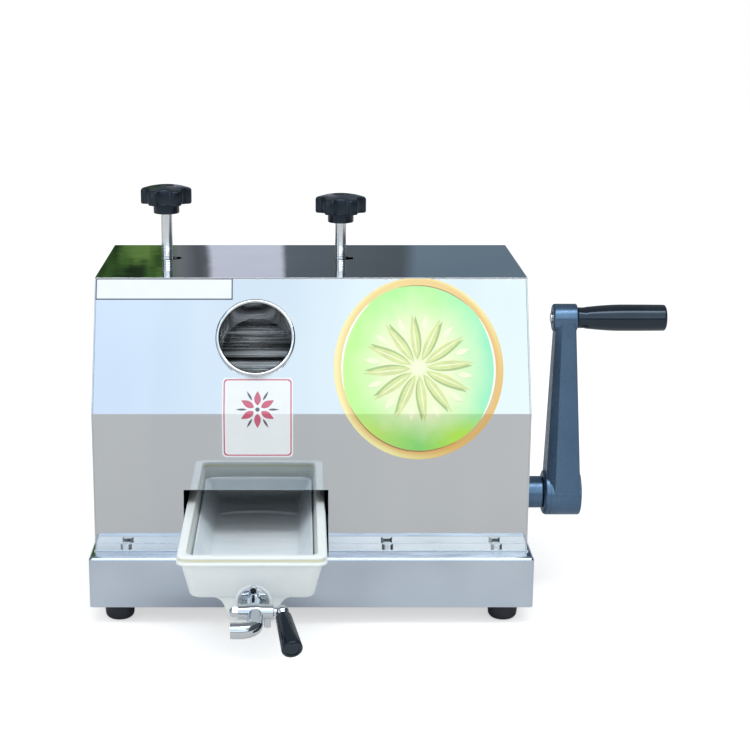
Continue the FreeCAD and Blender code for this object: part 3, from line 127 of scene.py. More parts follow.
planted = shades(air, edge, (-0.24, (0.10, 0.12, 0.11)), (-0.115, (0.03, 0.055, 0.02)),
                 (-0.09, (0.05, 0.13, 0.03)), (-0.075, (0.025, 0.04, 0.02)), (-0.066, (0.20, 0.21, 0.24)),
                 (-0.056, (0.10, 0.11, 0.13)),
                 (-0.050, (0.12, 0.14, 0.16)), (-0.047, (0.68, 0.71, 0.84)), (-0.005, (0.68, 0.71, 0.84)),
                 (-0.002, (0.13, 0.16, 0.19)), (0.065, (0.10, 0.12, 0.14)), (0.073, (0.17, 0.235, 0.30)),
                 (0.24, (0.16, 0.22, 0.29)))
small_leaves = node(air, "TexNoise", {"Vector": toward, "Scale": 70.0, "Detail": 4.0}).outputs["Fac"]
foliage = shades(air, small_leaves, (0.38, (0.015, 0.025, 0.015)), (0.50, (0.05, 0.12, 0.03)),
                 (0.62, (0.14, 0.26, 0.07)))
planted = mix(air, between(air, edge, -0.064, -0.078), planted, foliage)
back_low = mix(air, between(air, upward, -0.01, 0.04), (0.62, 0.64, 0.66), planted)
back = mix(air, between(air, upward, 0.34, 0.50), back_low, (0.30, 0.32, 0.35))
round_about = mix(air, between(air, forward, -0.15, 0.15), front, back)
sideways = node(air, "Math", {0: rightward}, operation="ABSOLUTE").outputs[0]
room = mix(air, between(air, sideways, 0.62, 0.72), round_about, (0.09, 0.10, 0.12))
ray = node(air, "LightPath")
mirrored = node(air, "Math", {0: ray.outputs["Is Glossy Ray"], 1: ray.outputs["Is Transmission Ray"]},
                operation="MAXIMUM")
soft_light = node(air, "Background", {"Color": (0.97, 0.99, 1.0, 1), "Strength": 0.66})
room_light = node(air, "Background", {"Color": room, "Strength": 1.0})
white = node(air, "Background", {"Color": (1, 1, 1, 1), "Strength": 1.0})
lit = node(air, "MixShader", {0: mirrored.outputs[0], 1: soft_light.outputs[0], 2: room_light.outputs[0]})
seen = node(air, "MixShader", {0: ray.outputs["Is Camera Ray"], 1: lit.outputs[0], 2: white.outputs[0]})
node(air, "OutputWorld", {"Surface": seen.outputs[0]})

for name, place, size, watts in (("softbox", (-0.1, -1.75, 1.75), (2.6, 1.7), 10.5),
                                 ("side_softbox", (-2.1, -0.9, 1.0), (0.9, 1.6), 5.0),
                                 ("strip_light", (0.15, -0.75, 1.75), (1.9, 0.42), 11.5)):
    lamp = bpy.data.lights.new(name, "AREA")
    lamp.shape = "RECTANGLE"
    lamp.size, lamp.size_y = size
    lamp.energy = watts
    lamp.color = (0.96, 0.985, 1.0)
    stand = bpy.data.objects.new(name, lamp)
    stand.location = place
    stand.rotation_euler = (Vector(place) - Vector((-0.05, 0.0, 0.2))).to_track_quat("Z", "Y").to_euler()
    stand.visible_camera = False
    scene.collection.objects.link(stand)

# The floor: pale paper under the machine, laid out far past it. It looks white to the lens and keeps
# the machine's soft shadow.
plate = bmesh.new()
floor_reach = 9
bmesh.ops.create_grid(plate, x_segments=8, y_segments=8, size=floor_reach)
floor = bpy.data.objects.new("floor", bpy.data.meshes.new("floor"))
plate.to_mesh(floor.data)
plate.free()
scene.collection.objects.link(floor)
paper = bpy.data.materials.new("floor_paper")
paper.use_nodes = True
tree = paper.node_tree
tree.nodes.clear()
ray = node(tree, "LightPath")
pale = node(tree, "BsdfDiffuse", {"Color": (0.70, 0.70, 0.70, 1)})
mirrored = node(tree, "Math", {0: ray.outputs["Is Glossy Ray"], 1: ray.outputs["Is Transmission Ray"]},
                operation="MAXIMUM")
shared = node(tree, "Math", {0: mirrored.outputs[0], 1: 0.04}, operation="MULTIPLY")
lift = node(tree, "Math", {0: ray.outputs["Is Camera Ray"], 1: 0.56, 2: shared.outputs[0]},
            operation="MULTIPLY_ADD")
glow = node(tree, "Emission", {"Color": (1, 1, 1, 1), "Strength": lift.outputs[0]})
both = node(tree, "AddShader", {0: pale.outputs[0], 1: glow.outputs[0]})
node(tree, "OutputMaterial", {"Surface": both.outputs[0]})
floor.data.materials.append(paper)

# Base pan: 2 mm stainless sheet, folded down on four sides and polished bright. Its polish is a
# little uneven, and its colour carries a painted bluish reflection in soft clouds.


def finish(name, colour, metallic, roughness, **more):
    """A new finish with its plain values on the shader's own sockets."""
    made = bpy.data.materials.new(name)
    made.use_nodes = True
    shader = made.node_tree.nodes["Principled BSDF"]
    shader.inputs["Base Color"].default_value = (*colour, 1)
    shader.inputs["Metallic"].default_value = metallic
    shader.inputs["Roughness"].default_value = roughness
    for socket, value in more.items():
        shader.inputs[socket.replace("_", " ")].default_value = value
    return made


def mottle(tree, scale, stretch=(1, 1, 1), detail=2.0):
    """A cloudy pattern fixed to the piece, scale being clouds per metre."""
    place = node(tree, "TexCoord").outputs["Object"]
    pulled = node(tree, "Mapping", {"Vector": place, "Scale": stretch})
    cloud = node(tree, "TexNoise", {"Vector": pulled.outputs[0], "Scale": scale, "Detail": detail})
    return cloud.outputs["Fac"]


def link(tree, output, socket):
    """Leads a pattern to one of the finish's own sockets."""
    tree.links.new(output, tree.nodes["Principled BSDF"].inputs[socket])


def vary(tree, pattern, low, high, socket):
    """Lets a cloudy pattern move a finish's number or colour between two values."""
    if isinstance(low, tuple):
        link(tree, mix(tree, between(tree, pattern, 0.3, 0.7), low, high), socket)
    else:
        link(tree, between(tree, pattern, 0.3, 0.7, low, high), socket)


def relief(tree, *layers, edge=0.0):
    """Bumps over each other, each a pattern and its depth in metres, on edges rounded by edge."""
    under = node(tree, "Bevel", {"Radius": edge}, samples=4).outputs["Normal"] if edge else None
    for pattern, depth in layers:
        inputs = {"Height": pattern, "Distance": depth, "Strength": 1.0}
        if under:
            inputs["Normal"] = under
        under = node(tree, "Bump", inputs).outputs["Normal"]
    link(tree, under, "Normal")


def dress(name, material):
    """Puts a finish on a piece that keeps its shape from the frame."""
    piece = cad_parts[name]
    piece.data.materials.clear()
    piece.data.materials.append(material)


base_sheet = finish("base_sheet", (0.52, 0.58, 0.67), 1.0, 0.09)
tree = base_sheet.node_tree
# Painted reflection: soft bluish clouds of lighter and darker colour over the whole pan.
vary(tree, mottle(tree, 7, (1, 1, 1.4), 2), (0.47, 0.52, 0.61), (0.60, 0.67, 0.75), "Base Color")
vary(tree, mottle(tree, 40, (1, 1, 0.5), 5), 0.06, 0.13, "Roughness")
relief(tree, (mottle(tree, 5, (1, 1, 0.6), 1), 0.0004), (mottle(tree, 24, (1, 2.5, 1), 2), 0.00012),
       edge=0.001)
dress("base_pan", base_sheet)

# Bed plate, frames, bridges and blocks: grey iron castings with milled faces, lightly oiled. They are
# bolted together under the covers and carry the rollers.
iron = finish("milled_iron", (0.20, 0.205, 0.21), 0.9, 0.42)
tree = iron.node_tree
vary(tree, mottle(tree, 30, detail=5), (0.16, 0.165, 0.17), (0.26, 0.265, 0.27), "Base Color")
vary(tree, mottle(tree, 90, detail=5), 0.34, 0.55, "Roughness")
relief(tree, (mottle(tree, 400, detail=5), 0.00006))
for name in ("bed_plate", "left_frame", "middle_frame", "outer_frame", "left_bridge", "right_bridge",
             "left_bearing_block", "right_bearing_block"):
    dress(name, iron)

# Feet: four moulded rubber discs with a domed edge, each held under the base pan by a bolt from
# below.
rubber = finish("foot_rubber", (0.010, 0.012, 0.019), 0.0, 0.5)
tree = rubber.node_tree
vary(tree, mottle(tree, 120, detail=5), (0.008, 0.009, 0.015), (0.016, 0.019, 0.027), "Base Color")
vary(tree, mottle(tree, 60, detail=4), 0.45, 0.66, "Roughness")
relief(tree, (mottle(tree, 1500), 0.00004))
dress("rubber_feet", rubber)

# Bolts, nuts and ties: bright zinc-plated steel. They are a little rubbed where a spanner has held
# them.
zinc = finish("bright_zinc", (0.66, 0.68, 0.70), 1.0, 0.2)
tree = zinc.node_tree
vary(tree, mottle(tree, 160, detail=4), (0.58, 0.60, 0.62), (0.74, 0.76, 0.77), "Base Color")
vary(tree, mottle(tree, 300, detail=4), 0.12, 0.28, "Roughness")
relief(tree, (mottle(tree, 500, detail=2), 0.00001), edge=0.0004)
for name in ("foot_bolts", "frame_bolts", "bridge_bolts", "tie_rods", "tie_nuts", "cover_bolts", "crank_bolt",
             "grip_spindle"):
    dress(name, zinc)

# Rollers, gears and plates: turned steel with milled teeth, greyed by use. The rollers' fluted faces
# carry painted shade in their colour: fine dark lines along the roller, for the shade in the valleys.
turned = finish("turned_steel", (0.46, 0.465, 0.47), 1.0, 0.24)
tree = turned.node_tree
vary(tree, mottle(tree, 35, detail=4), (0.38, 0.38, 0.38), (0.52, 0.525, 0.53), "Base Color")
vary(tree, mottle(tree, 120, (0.2, 1, 1), 3), 0.16, 0.28, "Roughness")
relief(tree, (mottle(tree, 120, (0.1, 1, 1), 2), 0.00001))
for name in ("top_roller_gear", "front_roller_gear", "rear_roller_gear", "main_gear", "drive_pinion",
             "crank_shaft", "turn_plate", "juice_guide"):
    dress(name, turned)
fluted = finish("fluted_steel", (0.30, 0.30, 0.30), 1.0, 0.3)
tree = fluted.node_tree
# Painted shade: fine near-black lines along the roller, standing for the shade in the flutes' valleys.
vary(tree, mottle(tree, 420, (0.02, 1, 1), 3), (0.05, 0.05, 0.05), (0.56, 0.565, 0.57), "Base Color")
vary(tree, mottle(tree, 120, (0.2, 1, 1), 3), 0.22, 0.36, "Roughness")
relief(tree, (mottle(tree, 420, (0.02, 1, 1), 2), 0.0002))
for name in ("top_roller", "front_roller", "rear_roller"):
    dress(name, fluted)

# Bushes: turned bronze, pressed into the frames, where the lower rollers and the crank's shaft run
# in them.
bronze = finish("bush_bronze", (0.45, 0.27, 0.11), 1.0, 0.3)
tree = bronze.node_tree
vary(tree, mottle(tree, 80, detail=4), (0.38, 0.22, 0.09), (0.50, 0.31, 0.13), "Base Color")
for name in ("roller_bushes", "crank_bushes"):
    dress(name, bronze)

# Covers and chute: thin stainless sheet with a mirror polish, folded, and held by small hex bolts.
# Large plates are never quite flat, so what they mirror swims a little, and soft upright bands of
# painted reflection run through their colour.
mirror_sheet = finish("mirror_sheet", (0.585, 0.60, 0.615), 1.0, 0.05)
tree = mirror_sheet.node_tree
# Painted reflection: soft upright bands of lighter and darker colour across the sheets.
vary(tree, mottle(tree, 5, (1.5, 1, 0.3), 2), (0.525, 0.545, 0.57), (0.625, 0.635, 0.64), "Base Color")
vary(tree, mottle(tree, 30, (1, 1, 0.5), 4), 0.02, 0.055, "Roughness")
relief(tree, (mottle(tree, 4, (1, 1, 0.6), 1), 0.0004), (mottle(tree, 26, (1, 1.5, 1), 1), 0.00003),
       edge=0.001)
for name in ("front_cover", "top_cover", "left_side_cover", "right_side_cover", "rear_cover", "outlet_chute"):
    dress(name, mirror_sheet)

# Feed tube: thick polished tube, welded square to the leaning panel. Its mouth is rolled over into a
# rounded lip.
tube_steel = finish("tube_steel", (0.62, 0.63, 0.64), 1.0, 0.06)
tree = tube_steel.node_tree
vary(tree, mottle(tree, 60, detail=3), 0.04, 0.10, "Roughness")
dress("feed_tube", tube_steel)

# Labels: printed film with a hard gloss, laid over the folded front. Their places are counted along
# the sheet from its fold, upwards over the leaning panel and downwards over the upright one.
fold_y = -0.0375
fold_z = 0.2127
fold_radius = 0.0012
lean = math.radians(27.2)
fold_reach = fold_radius * math.tan(lean / 2)


def on_sheet(x, along, rise):
    """The point over the front sheet, at a distance along it from the fold."""
    turn = lean * min(max((along + fold_reach) / (2 * fold_reach), 0), 1)
    past = max(abs(along) - fold_reach, 0)
    y = fold_y + fold_radius - (fold_radius + rise) * math.cos(turn)
    z = fold_z - fold_reach + (fold_radius + rise) * math.sin(turn)
    if along > 0:
        return Vector((x, y + past * math.sin(lean), z + past * math.cos(lean)))
    return Vector((x, y, z - past))


def rounded_outline(left, right, low, high, corner, steps=8):
    """A rectangle with round corners, as places on the sheet."""
    points = []
    corners = ((right - corner, high - corner, 0), (left + corner, high - corner, 90),
               (left + corner, low + corner, 180), (right - corner, low + corner, 270))
    for middle_x, middle_s, first in corners:
        for step in range(steps + 1):
            turn = math.radians(first + 90 * step / steps)
            points.append((middle_x + corner * math.cos(turn), middle_s + corner * math.sin(turn)))
    return points


def oval_outline(x, along, half_wide, half_high, steps=180):
    """An oval, as places on the sheet."""
    turns = [2 * math.pi * step / steps for step in range(steps)]
    return [(x + half_wide * math.cos(turn), along + half_high * math.sin(turn)) for turn in turns]


def leaf_outline(x, along, turn, start, length, width, steps=9):
    """A pointed leaf growing away from a place on the sheet, in the direction of turn."""
    side = [(start + length * step / steps, width / 2 * math.sin(math.pi * (step / steps) ** 0.8))
            for step in range(steps + 1)]
    around = side + [(far, -wide) for far, wide in side[-2:0:-1]]
    over, up = math.cos(turn), math.sin(turn)
    return [(x + far * over - wide * up, along + far * up + wide * over) for far, wide in around]


def film(name, prints, rise=0.00025):
    """A label on the sheet. Each print is a finish and an outline, and the outline of the print that
    lies within it, if it is a ring."""
    mesh = bmesh.new()
    for index, (material, outer, inner) in enumerate(prints):
        loop = [mesh.verts.new((x, s, 0)) for x, s in outer]
        if inner:
            hole = [mesh.verts.new((x, s, 0)) for x, s in inner]
            for k in range(len(loop)):
                following = (k + 1) % len(loop)
                mesh.faces.new((loop[k], loop[following], hole[following], hole[k])).material_index = index
        else:
            mesh.faces.new(loop).material_index = index
    for height in (-fold_reach, -fold_reach / 3, fold_reach / 3, fold_reach):
        bmesh.ops.bisect_plane(mesh, geom=mesh.verts[:] + mesh.edges[:] + mesh.faces[:],
                               plane_co=(0, height, 0), plane_no=(0, 1, 0), dist=1e-7)
    bmesh.ops.triangulate(mesh, faces=mesh.faces[:])
    for vertex in mesh.verts:
        vertex.co = on_sheet(vertex.co.x, vertex.co.y, rise)
    data = bpy.data.meshes.new(name)
    mesh.to_mesh(data)
    mesh.free()
    piece = bpy.data.objects.new(name, data)
    scene.collection.objects.link(piece)
    for material, outer, inner in prints:
        data.materials.append(material)
    thick = piece.modifiers.new("film", "SOLIDIFY")
    thick.thickness = 0.00006
    thick.offset = -1
    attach(piece, "machine")
    return piece


def inked(name, colour, fade=0.92):
    """A print under clear gloss, a shade uneven as printed film is."""
    made = finish(name, colour, 0.0, 0.3, Coat_Weight=1.0, Coat_Roughness=0.03, Coat_IOR=1.65)
    tree = made.node_tree
    vary(tree, mottle(tree, 90, detail=3), tuple(part * fade for part in colour), colour, "Base Color")
    return made


white_film = inked("white_film", (0.80, 0.83, 0.84), 0.97)
dark_print = inked("dark_print", (0.045, 0.05, 0.08))
red_print = inked("red_print", (0.56, 0.06, 0.14))
film("strip_label", [
    (dark_print, rounded_outline(-0.2915, -0.1505, 0.1195, 0.1425, 0.0006),
     rounded_outline(-0.2901, -0.1519, 0.1209, 0.1411, 0.0004)),
    (white_film, rounded_outline(-0.2901, -0.1519, 0.1209, 0.1411, 0.0004), None)])
film("square_label", [
    (white_film, rounded_outline(-0.1605, -0.0885, -0.0455, 0.0375, 0.0045),
     rounded_outline(-0.1590, -0.0900, -0.0440, 0.0360, 0.0040)),
    (red_print, rounded_outline(-0.1590, -0.0900, -0.0440, 0.0360, 0.0040),
     rounded_outline(-0.1577, -0.0913, -0.0427, 0.0347, 0.0035)),
    (white_film, rounded_outline(-0.1577, -0.0913, -0.0427, 0.0347, 0.0035), None)])
flower_x, flower_s = -0.1245, 0.0045
sixths = [math.radians(60 * k) for k in range(6)]
half_sixth = math.radians(30)
petals = [(red_print, leaf_outline(flower_x, flower_s, turn + half_sixth, 0.0042, 0.0150, 0.0068), None)
          for turn in sixths]
sprigs = [(dark_print, leaf_outline(flower_x, flower_s, turn, 0.0110, 0.0110, 0.0022), None)
          for turn in sixths]
heart = [(dark_print, oval_outline(flower_x, flower_s, 0.0022, 0.0022, 24), None)]
film("square_label_flower", petals + sprigs + heart, rise=0.00032)

# Round label: a gold ring about a green field that fades to pale yellow in its middle, with a
# rosette of slender leaves and drops printed on it.
ring_x, ring_s = 0.0389, 0.0477
ring_wide, ring_high, field_wide, field_high = 0.0862, 0.0955, 0.0785, 0.0875
ring_z = fold_z + ring_s * math.cos(lean)


def ring_place(tree):
    """How far out on the round label a point is, from 0 in its middle to 1 at its field's edge, and
    how far right and up."""
    shift = node(tree, "VectorMath", {0: node(tree, "TexCoord").outputs["Object"], 1: (ring_x, 0, ring_z)},
                 operation="SUBTRACT").outputs[0]
    scaled = node(tree, "VectorMath", {0: shift, 1: (1 / field_wide, 0, 1 / (field_high * 0.945))},
                  operation="MULTIPLY").outputs[0]
    parts = node(tree, "SeparateXYZ", {"Vector": scaled})
    far = node(tree, "VectorMath", {0: scaled}, operation="LENGTH").outputs["Value"]
    return far, parts.outputs["X"], parts.outputs["Z"]


gold_print = inked("gold_print", (0.80, 0.55, 0.20))
tree = gold_print.node_tree
far, right, up = ring_place(tree)
slant = node(tree, "Math", {0: up, 1: -0.6, 2: right}, operation="MULTIPLY_ADD").outputs[0]
inside = shades(tree, slant, (-1.3, (0.80, 0.60, 0.20)), (0.0, (0.78, 0.52, 0.16)),
                (1.0, (0.70, 0.36, 0.05)), (1.4, (0.62, 0.54, 0.36)))
outside = shades(tree, slant, (-1.3, (0.88, 0.76, 0.34)), (0.2, (0.92, 0.84, 0.36)),
                 (1.2, (0.74, 0.42, 0.06)))
link(tree, mix(tree, between(tree, far, 1.00, 1.06), inside, outside), "Base Color")
green_print = inked("green_print", (0.40, 0.78, 0.22))
tree = green_print.node_tree
far, right, up = ring_place(tree)
rim = shades(tree, right, (-1.0, (0.50, 0.86, 0.22)), (-0.4, (0.36, 0.80, 0.22)), (0.2, (0.40, 0.82, 0.26)),
             (0.75, (0.30, 0.80, 0.42)), (1.0, (0.22, 0.76, 0.46)))
rim = mix(tree, between(tree, up, -0.45, -0.75), rim, shades(
    tree, right, (-0.7, (0.55, 0.80, 0.10)), (0.0, (0.20, 0.66, 0.12)), (0.45, (0.42, 0.78, 0.03))))
cloudy = node(tree, "Math", {0: mottle(tree, 45, (1, 1, 0.6), 3), 1: 0.35, 2: far},
              operation="MULTIPLY_ADD").outputs[0]
link(tree, mix(tree, between(tree, cloudy, 0.62, 1.08), (0.80, 0.86, 0.52), rim), "Base Color")
white_line = inked("white_line", (0.90, 0.93, 0.84), 0.97)
brown_line = inked("brown_line", (0.36, 0.16, 0.05))
leaf_print = inked("leaf_print", (0.66, 0.74, 0.27), 0.85)
vein_print = inked("vein_print", (0.86, 0.90, 0.60), 0.94)
shade_print = inked("shade_print", (0.36, 0.52, 0.16), 0.85)
film("round_label", [
    (gold_print, oval_outline(ring_x, ring_s, ring_wide, ring_high),
     oval_outline(ring_x, ring_s, field_wide, field_high)),
    (green_print, oval_outline(ring_x, ring_s, field_wide, field_high), None)])


def crescent(first, last, wide, steps=40):
    """A thin line inside the round label's edge, thickest half way between two directions."""
    outer, inner = [], []
    for step in range(steps + 1):
        turn = math.radians(first + (last - first) * step / steps)
        thick = wide * math.sin(math.pi * step / steps) ** 0.5
        outer.append((ring_x + field_wide * math.cos(turn), ring_s + field_high * math.sin(turn)))
        inner.append((ring_x + (field_wide - thick) * math.cos(turn),
                      ring_s + (field_high - thick) * math.sin(turn)))
    return outer + inner[-2:0:-1]


film("round_label_lines", [(white_line, crescent(-38, 38, 0.0021), None),
                           (white_line, crescent(128, 196, 0.0021), None),
                           (brown_line, crescent(48, 104, 0.0010), None),
                           (brown_line, crescent(206, 300, 0.0013), None)], rise=0.00032)


def rosette(material, lean_over, start, length, width):
    """Twelve leaves about the round label's middle, all leaning by the same angle."""
    leaves = []
    for k in range(12):
        turn = math.radians(30 * k) + lean_over
        leaves.append((material, leaf_outline(ring_x, ring_s, turn, start, length, width), None))
    return leaves


leaf_lean = math.radians(6)
drop_lean = math.radians(21)
middle = [(vein_print, oval_outline(ring_x, ring_s, 0.0075, 0.0075, 36), None)]
film("round_label_rosette", rosette(shade_print, leaf_lean - 0.06, 0.009, 0.046, 0.0092), rise=0.00032)
film("round_label_leaves", rosette(leaf_print, leaf_lean, 0.008, 0.049, 0.0088), rise=0.00039)
film("round_label_drops", rosette(vein_print, leaf_lean, 0.012, 0.040, 0.0014)
     + rosette(vein_print, drop_lean, 0.040, 0.016, 0.0062) + middle, rise=0.00046)

# Pressure screws: M12 steel rods, bright from rolling, with their thread showing where they enter
# the top cover.
rod = finish("screw_rod", (0.86, 0.89, 0.90), 1.0, 0.16)
tree = rod.node_tree
vary(tree, mottle(tree, 60, (1, 1, 0.1), 3), (0.82, 0.85, 0.86), (0.90, 0.93, 0.94), "Base Color")
height = node(tree, "SeparateXYZ", {"Vector": node(tree, "TexCoord").outputs["Object"]}).outputs["Z"]
thread_pitch = 0.00175
turns_up = node(tree, "Math", {0: height, 1: 2 * math.pi / thread_pitch}, operation="MULTIPLY").outputs[0]
thread = node(tree, "Math", {0: turns_up}, operation="SINE").outputs[0]
threaded_part = between(tree, height, 0.358, 0.352)
worn = node(tree, "Math", {0: thread, 1: threaded_part}, operation="MULTIPLY").outputs[0]
relief(tree, (worn, 0.00012))
for name in ("left_pressure_screw", "right_pressure_screw"):
    dress(name, rod)

# Knobs: star grips moulded in satin black plastic, with a shallow dome, six soft-edged lobes and a
# round neck over the screw's end. Sizes are in millimetres, as on the machine's drawing, whose zero
# is the middle of the base's lower front edge.


def placed(x, y, z):
    """A place on the machine's drawing, in the frame's metres."""
    return Vector((x - 70.0, y - 76.9, z + 20.0)) / 1000


def skin(mesh, loops, start=True, finish_end=True):
    """Joins loops of equal length with faces, and closes the first and the last."""
    rows = [[mesh.verts.new(placed(*point)) for point in loop] for loop in loops]
    for low, high in zip(rows, rows[1:]):
        for k in range(len(low)):
            following = (k + 1) % len(low)
            mesh.faces.new((low[k], low[following], high[following], high[k]))
    if start:
        mesh.faces.new(rows[0][::-1])
    if finish_end:
        mesh.faces.new(rows[-1])
    return rows


def turned_form(mesh, origin, axis, profile, steps=56, start=True, finish_end=True):
    """Turns a profile, given as distances along an axis and radii, about that axis."""
    along = Vector(axis).normalized()
    side = along.orthogonal().normalized()
    other = along.cross(side)
    loops = []
    for far, radius in profile:
        loops.append([Vector(origin) + along * far + side * (radius * math.cos(2 * math.pi * k / steps))
                      + other * (radius * math.sin(2 * math.pi * k / steps)) for k in range(steps)])
    skin(mesh, loops, start, finish_end)


def rounded(far, radius, edge, outward=1, steps=5):
    """Points of a profile round an outer edge, going in the direction of outward."""
    points = []
    for step in range(steps + 1):
        turn = math.pi / 2 * step / steps
        if outward > 0:
            points.append((far + edge * (1 - math.cos(turn)), radius - edge * (1 - math.sin(turn))))
        else:
            points.append((far - edge * (1 - math.sin(turn)), radius - edge * (1 - math.cos(turn))))
    return points


def stand_for(name, mesh, nodes, body, material, crease=32):
    """Makes a mesh the visible piece of its nodes, smooth except along its sharp edges."""
    bmesh.ops.recalc_face_normals(mesh, faces=mesh.faces[:])
    data = bpy.data.meshes.new(name)
    mesh.to_mesh(data)
    mesh.free()
    for face in data.polygons:
        face.use_smooth = True
    data.set_sharp_from_angle(angle=math.radians(crease))
    data.materials.append(material)
    piece = bpy.data.objects.new(name, data)
    scene.collection.objects.link(piece)
    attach(piece, body)
    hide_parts(*nodes)
    return piece


satin_plastic = finish("satin_plastic", (0.010, 0.013, 0.019), 0.0, 0.22, Specular_IOR_Level=0.5,
                       Specular_Tint=(0.62, 0.80, 1.0, 1.0))
tree = satin_plastic.node_tree
vary(tree, mottle(tree, 60, detail=4), (0.007, 0.010, 0.015), (0.013, 0.017, 0.024), "Base Color")
vary(tree, mottle(tree, 200, detail=4), 0.17, 0.28, "Roughness")
relief(tree, (mottle(tree, 1500), 0.00001))
knob_radius, knob_foot, knob_shoulder, knob_dome = 27.5, 10.5, 26.5, 4.2
knob_y, valley_out, valley_radius, eased = 217.0, 32.8, 11.3, 0.9
rim_inset = 2.6
turns = [2 * math.pi * k / 240 for k in range(240)]


def lobe(turn):
    """Radius of the star in one direction: a disc with six round valleys, their corners eased."""
    off = math.radians((math.degrees(turn) + 90 + 30) % 60 - 30)
    cut = valley_radius ** 2 - (valley_out * math.sin(off)) ** 2
    valley = valley_out * math.cos(off) - math.sqrt(cut) if cut > 0 else 40.0
    return -math.log(math.exp(-valley / eased) + math.exp(-knob_radius / eased)) * eased


def star(x, hub_z, inward, level):
    """One outline of the knob. Above its lobes' middle the outline follows the dome."""
    loop = []
    for turn in turns:
        radius = lobe(turn) - inward
        domed = hub_z + knob_shoulder + knob_dome * (1 - (radius / knob_radius) ** 2)
        z = hub_z + level if level < 20 else domed - (26.5 - level)
        loop.append((x + radius * math.cos(turn), knob_y + radius * math.sin(turn), z))
    return loop


for side, x, hub_z in (("left", -156.4, 370.0), ("right", 32.7, 360.2)):
    mesh = bmesh.new()
    levels = [(1.6, knob_foot), (0.7, knob_foot + 0.3), (0.2, knob_foot + 0.9), (0.0, knob_foot + 1.8),
              (0.0, 24.6), (0.25, 25.4), (0.8, 26.1), (1.6, 26.4), (rim_inset, 26.5)]
    loops = [star(x, hub_z, inward, level) for inward, level in levels]
    for share in (0.92, 0.82, 0.70, 0.58, 0.47):
        loop = []
        for turn in turns:
            radius = (lobe(turn) - rim_inset) * share
            loop.append((x + radius * math.cos(turn), knob_y + radius * math.sin(turn),
                         hub_z + knob_shoulder + knob_dome * (1 - (radius / knob_radius) ** 2)))
        loops.append(loop)
    for radius, z in ((8.9, 30.25), (8.5, 30.0), (8.4, 29.4), (8.0, 29.2), (3.0, 29.2)):
        loops.append([(x + radius * math.cos(turn), knob_y + radius * math.sin(turn), hub_z + z)
                      for turn in turns])
    skin(mesh, loops)
    neck = [(0.0, 13.0)] + rounded(0.0, 14.0, 1.0) + [(knob_foot + 0.5, 14.0)]
    turned_form(mesh, (x, knob_y, hub_z), (0, 0, 1), neck)
    stand_for(f"{side}_star_knob", mesh, [f"{side}_knob"], f"{side}_screw", satin_plastic)

# Crank: a casting with a satin blue-black coat. Its arm tapers from a round hub with a raised collar
# to a round eye, and its edge towards the machine is broadly bevelled.
coated = finish("coated_casting", (0.10, 0.165, 0.265), 0.9, 0.26)
tree = coated.node_tree
vary(tree, mottle(tree, 25, (1, 1, 0.4), 3), (0.085, 0.150, 0.245), (0.115, 0.190, 0.290), "Base Color")
vary(tree, mottle(tree, 180, detail=4), 0.25, 0.36, "Roughness")
relief(tree, (mottle(tree, 250, detail=3), 0.00002))
dress("crank_boss", coated)
crank_y, crank_z, crank_throw = 95.5, 91.9, 188.0
mesh = bmesh.new()


def arm_section(z, left, right, deep, bevel, back_bevel=1.5):
    """One level of the arm: a bar with broad bevels to the left and small ones to the right."""
    front, back = crank_y - deep / 2, crank_y + deep / 2
    return [(left, front + bevel, z), (left + bevel, front, z), (right - back_bevel, front, z),
            (right, front + back_bevel, z), (right, back - back_bevel, z), (right - back_bevel, back, z),
            (left + bevel, back, z), (left, back - bevel, z)]


skin(mesh, [arm_section(crank_z - 2, 245.8, 281.2, 47.4, 9.0), arm_section(crank_z, 245.6, 281.3, 47.4, 9.0),
            arm_section(crank_z + crank_throw, 251.0, 270.8, 28.7, 5.5)])
hub = rounded(243.8, 24.0, 4.0) + [(249.8, 24.0), (249.8, 23.2), (250.6, 23.2), (250.6, 24.0)]
hub += rounded(282.6, 24.0, 1.5, -1) + [(282.6, 15.0), (273.6, 15.0), (273.6, 4.0)]
turned_form(mesh, (0, crank_y, crank_z), (1, 0, 0), hub, 72)
eye = [(251.1, 5.0), (251.1, 6.0), (248.1, 6.0)] + rounded(248.1, 14.5, 2.5) + rounded(272.8, 14.5, 1.25, -1)
turned_form(mesh, (0, crank_y, crank_z + crank_throw), (1, 0, 0), eye, 56)
stand_for("crank_casting", mesh, ["crank_arm"], "crank", coated)
mesh = bmesh.new()
bolt_washer = [(273.4, 13.0), (275.4, 13.0)]
hex_head = [(275.4, 6.6), (275.4, 7.5), (280.4, 7.5), (280.9, 6.8)]
turned_form(mesh, (0, crank_y, crank_z), (1, 0, 0), bolt_washer, 48)
turned_form(mesh, (0, crank_y, crank_z), (1, 0, 0), hex_head, 6)
stand_for("crank_hub_bolt", mesh, ["crank_bolt"], "crank", zinc)

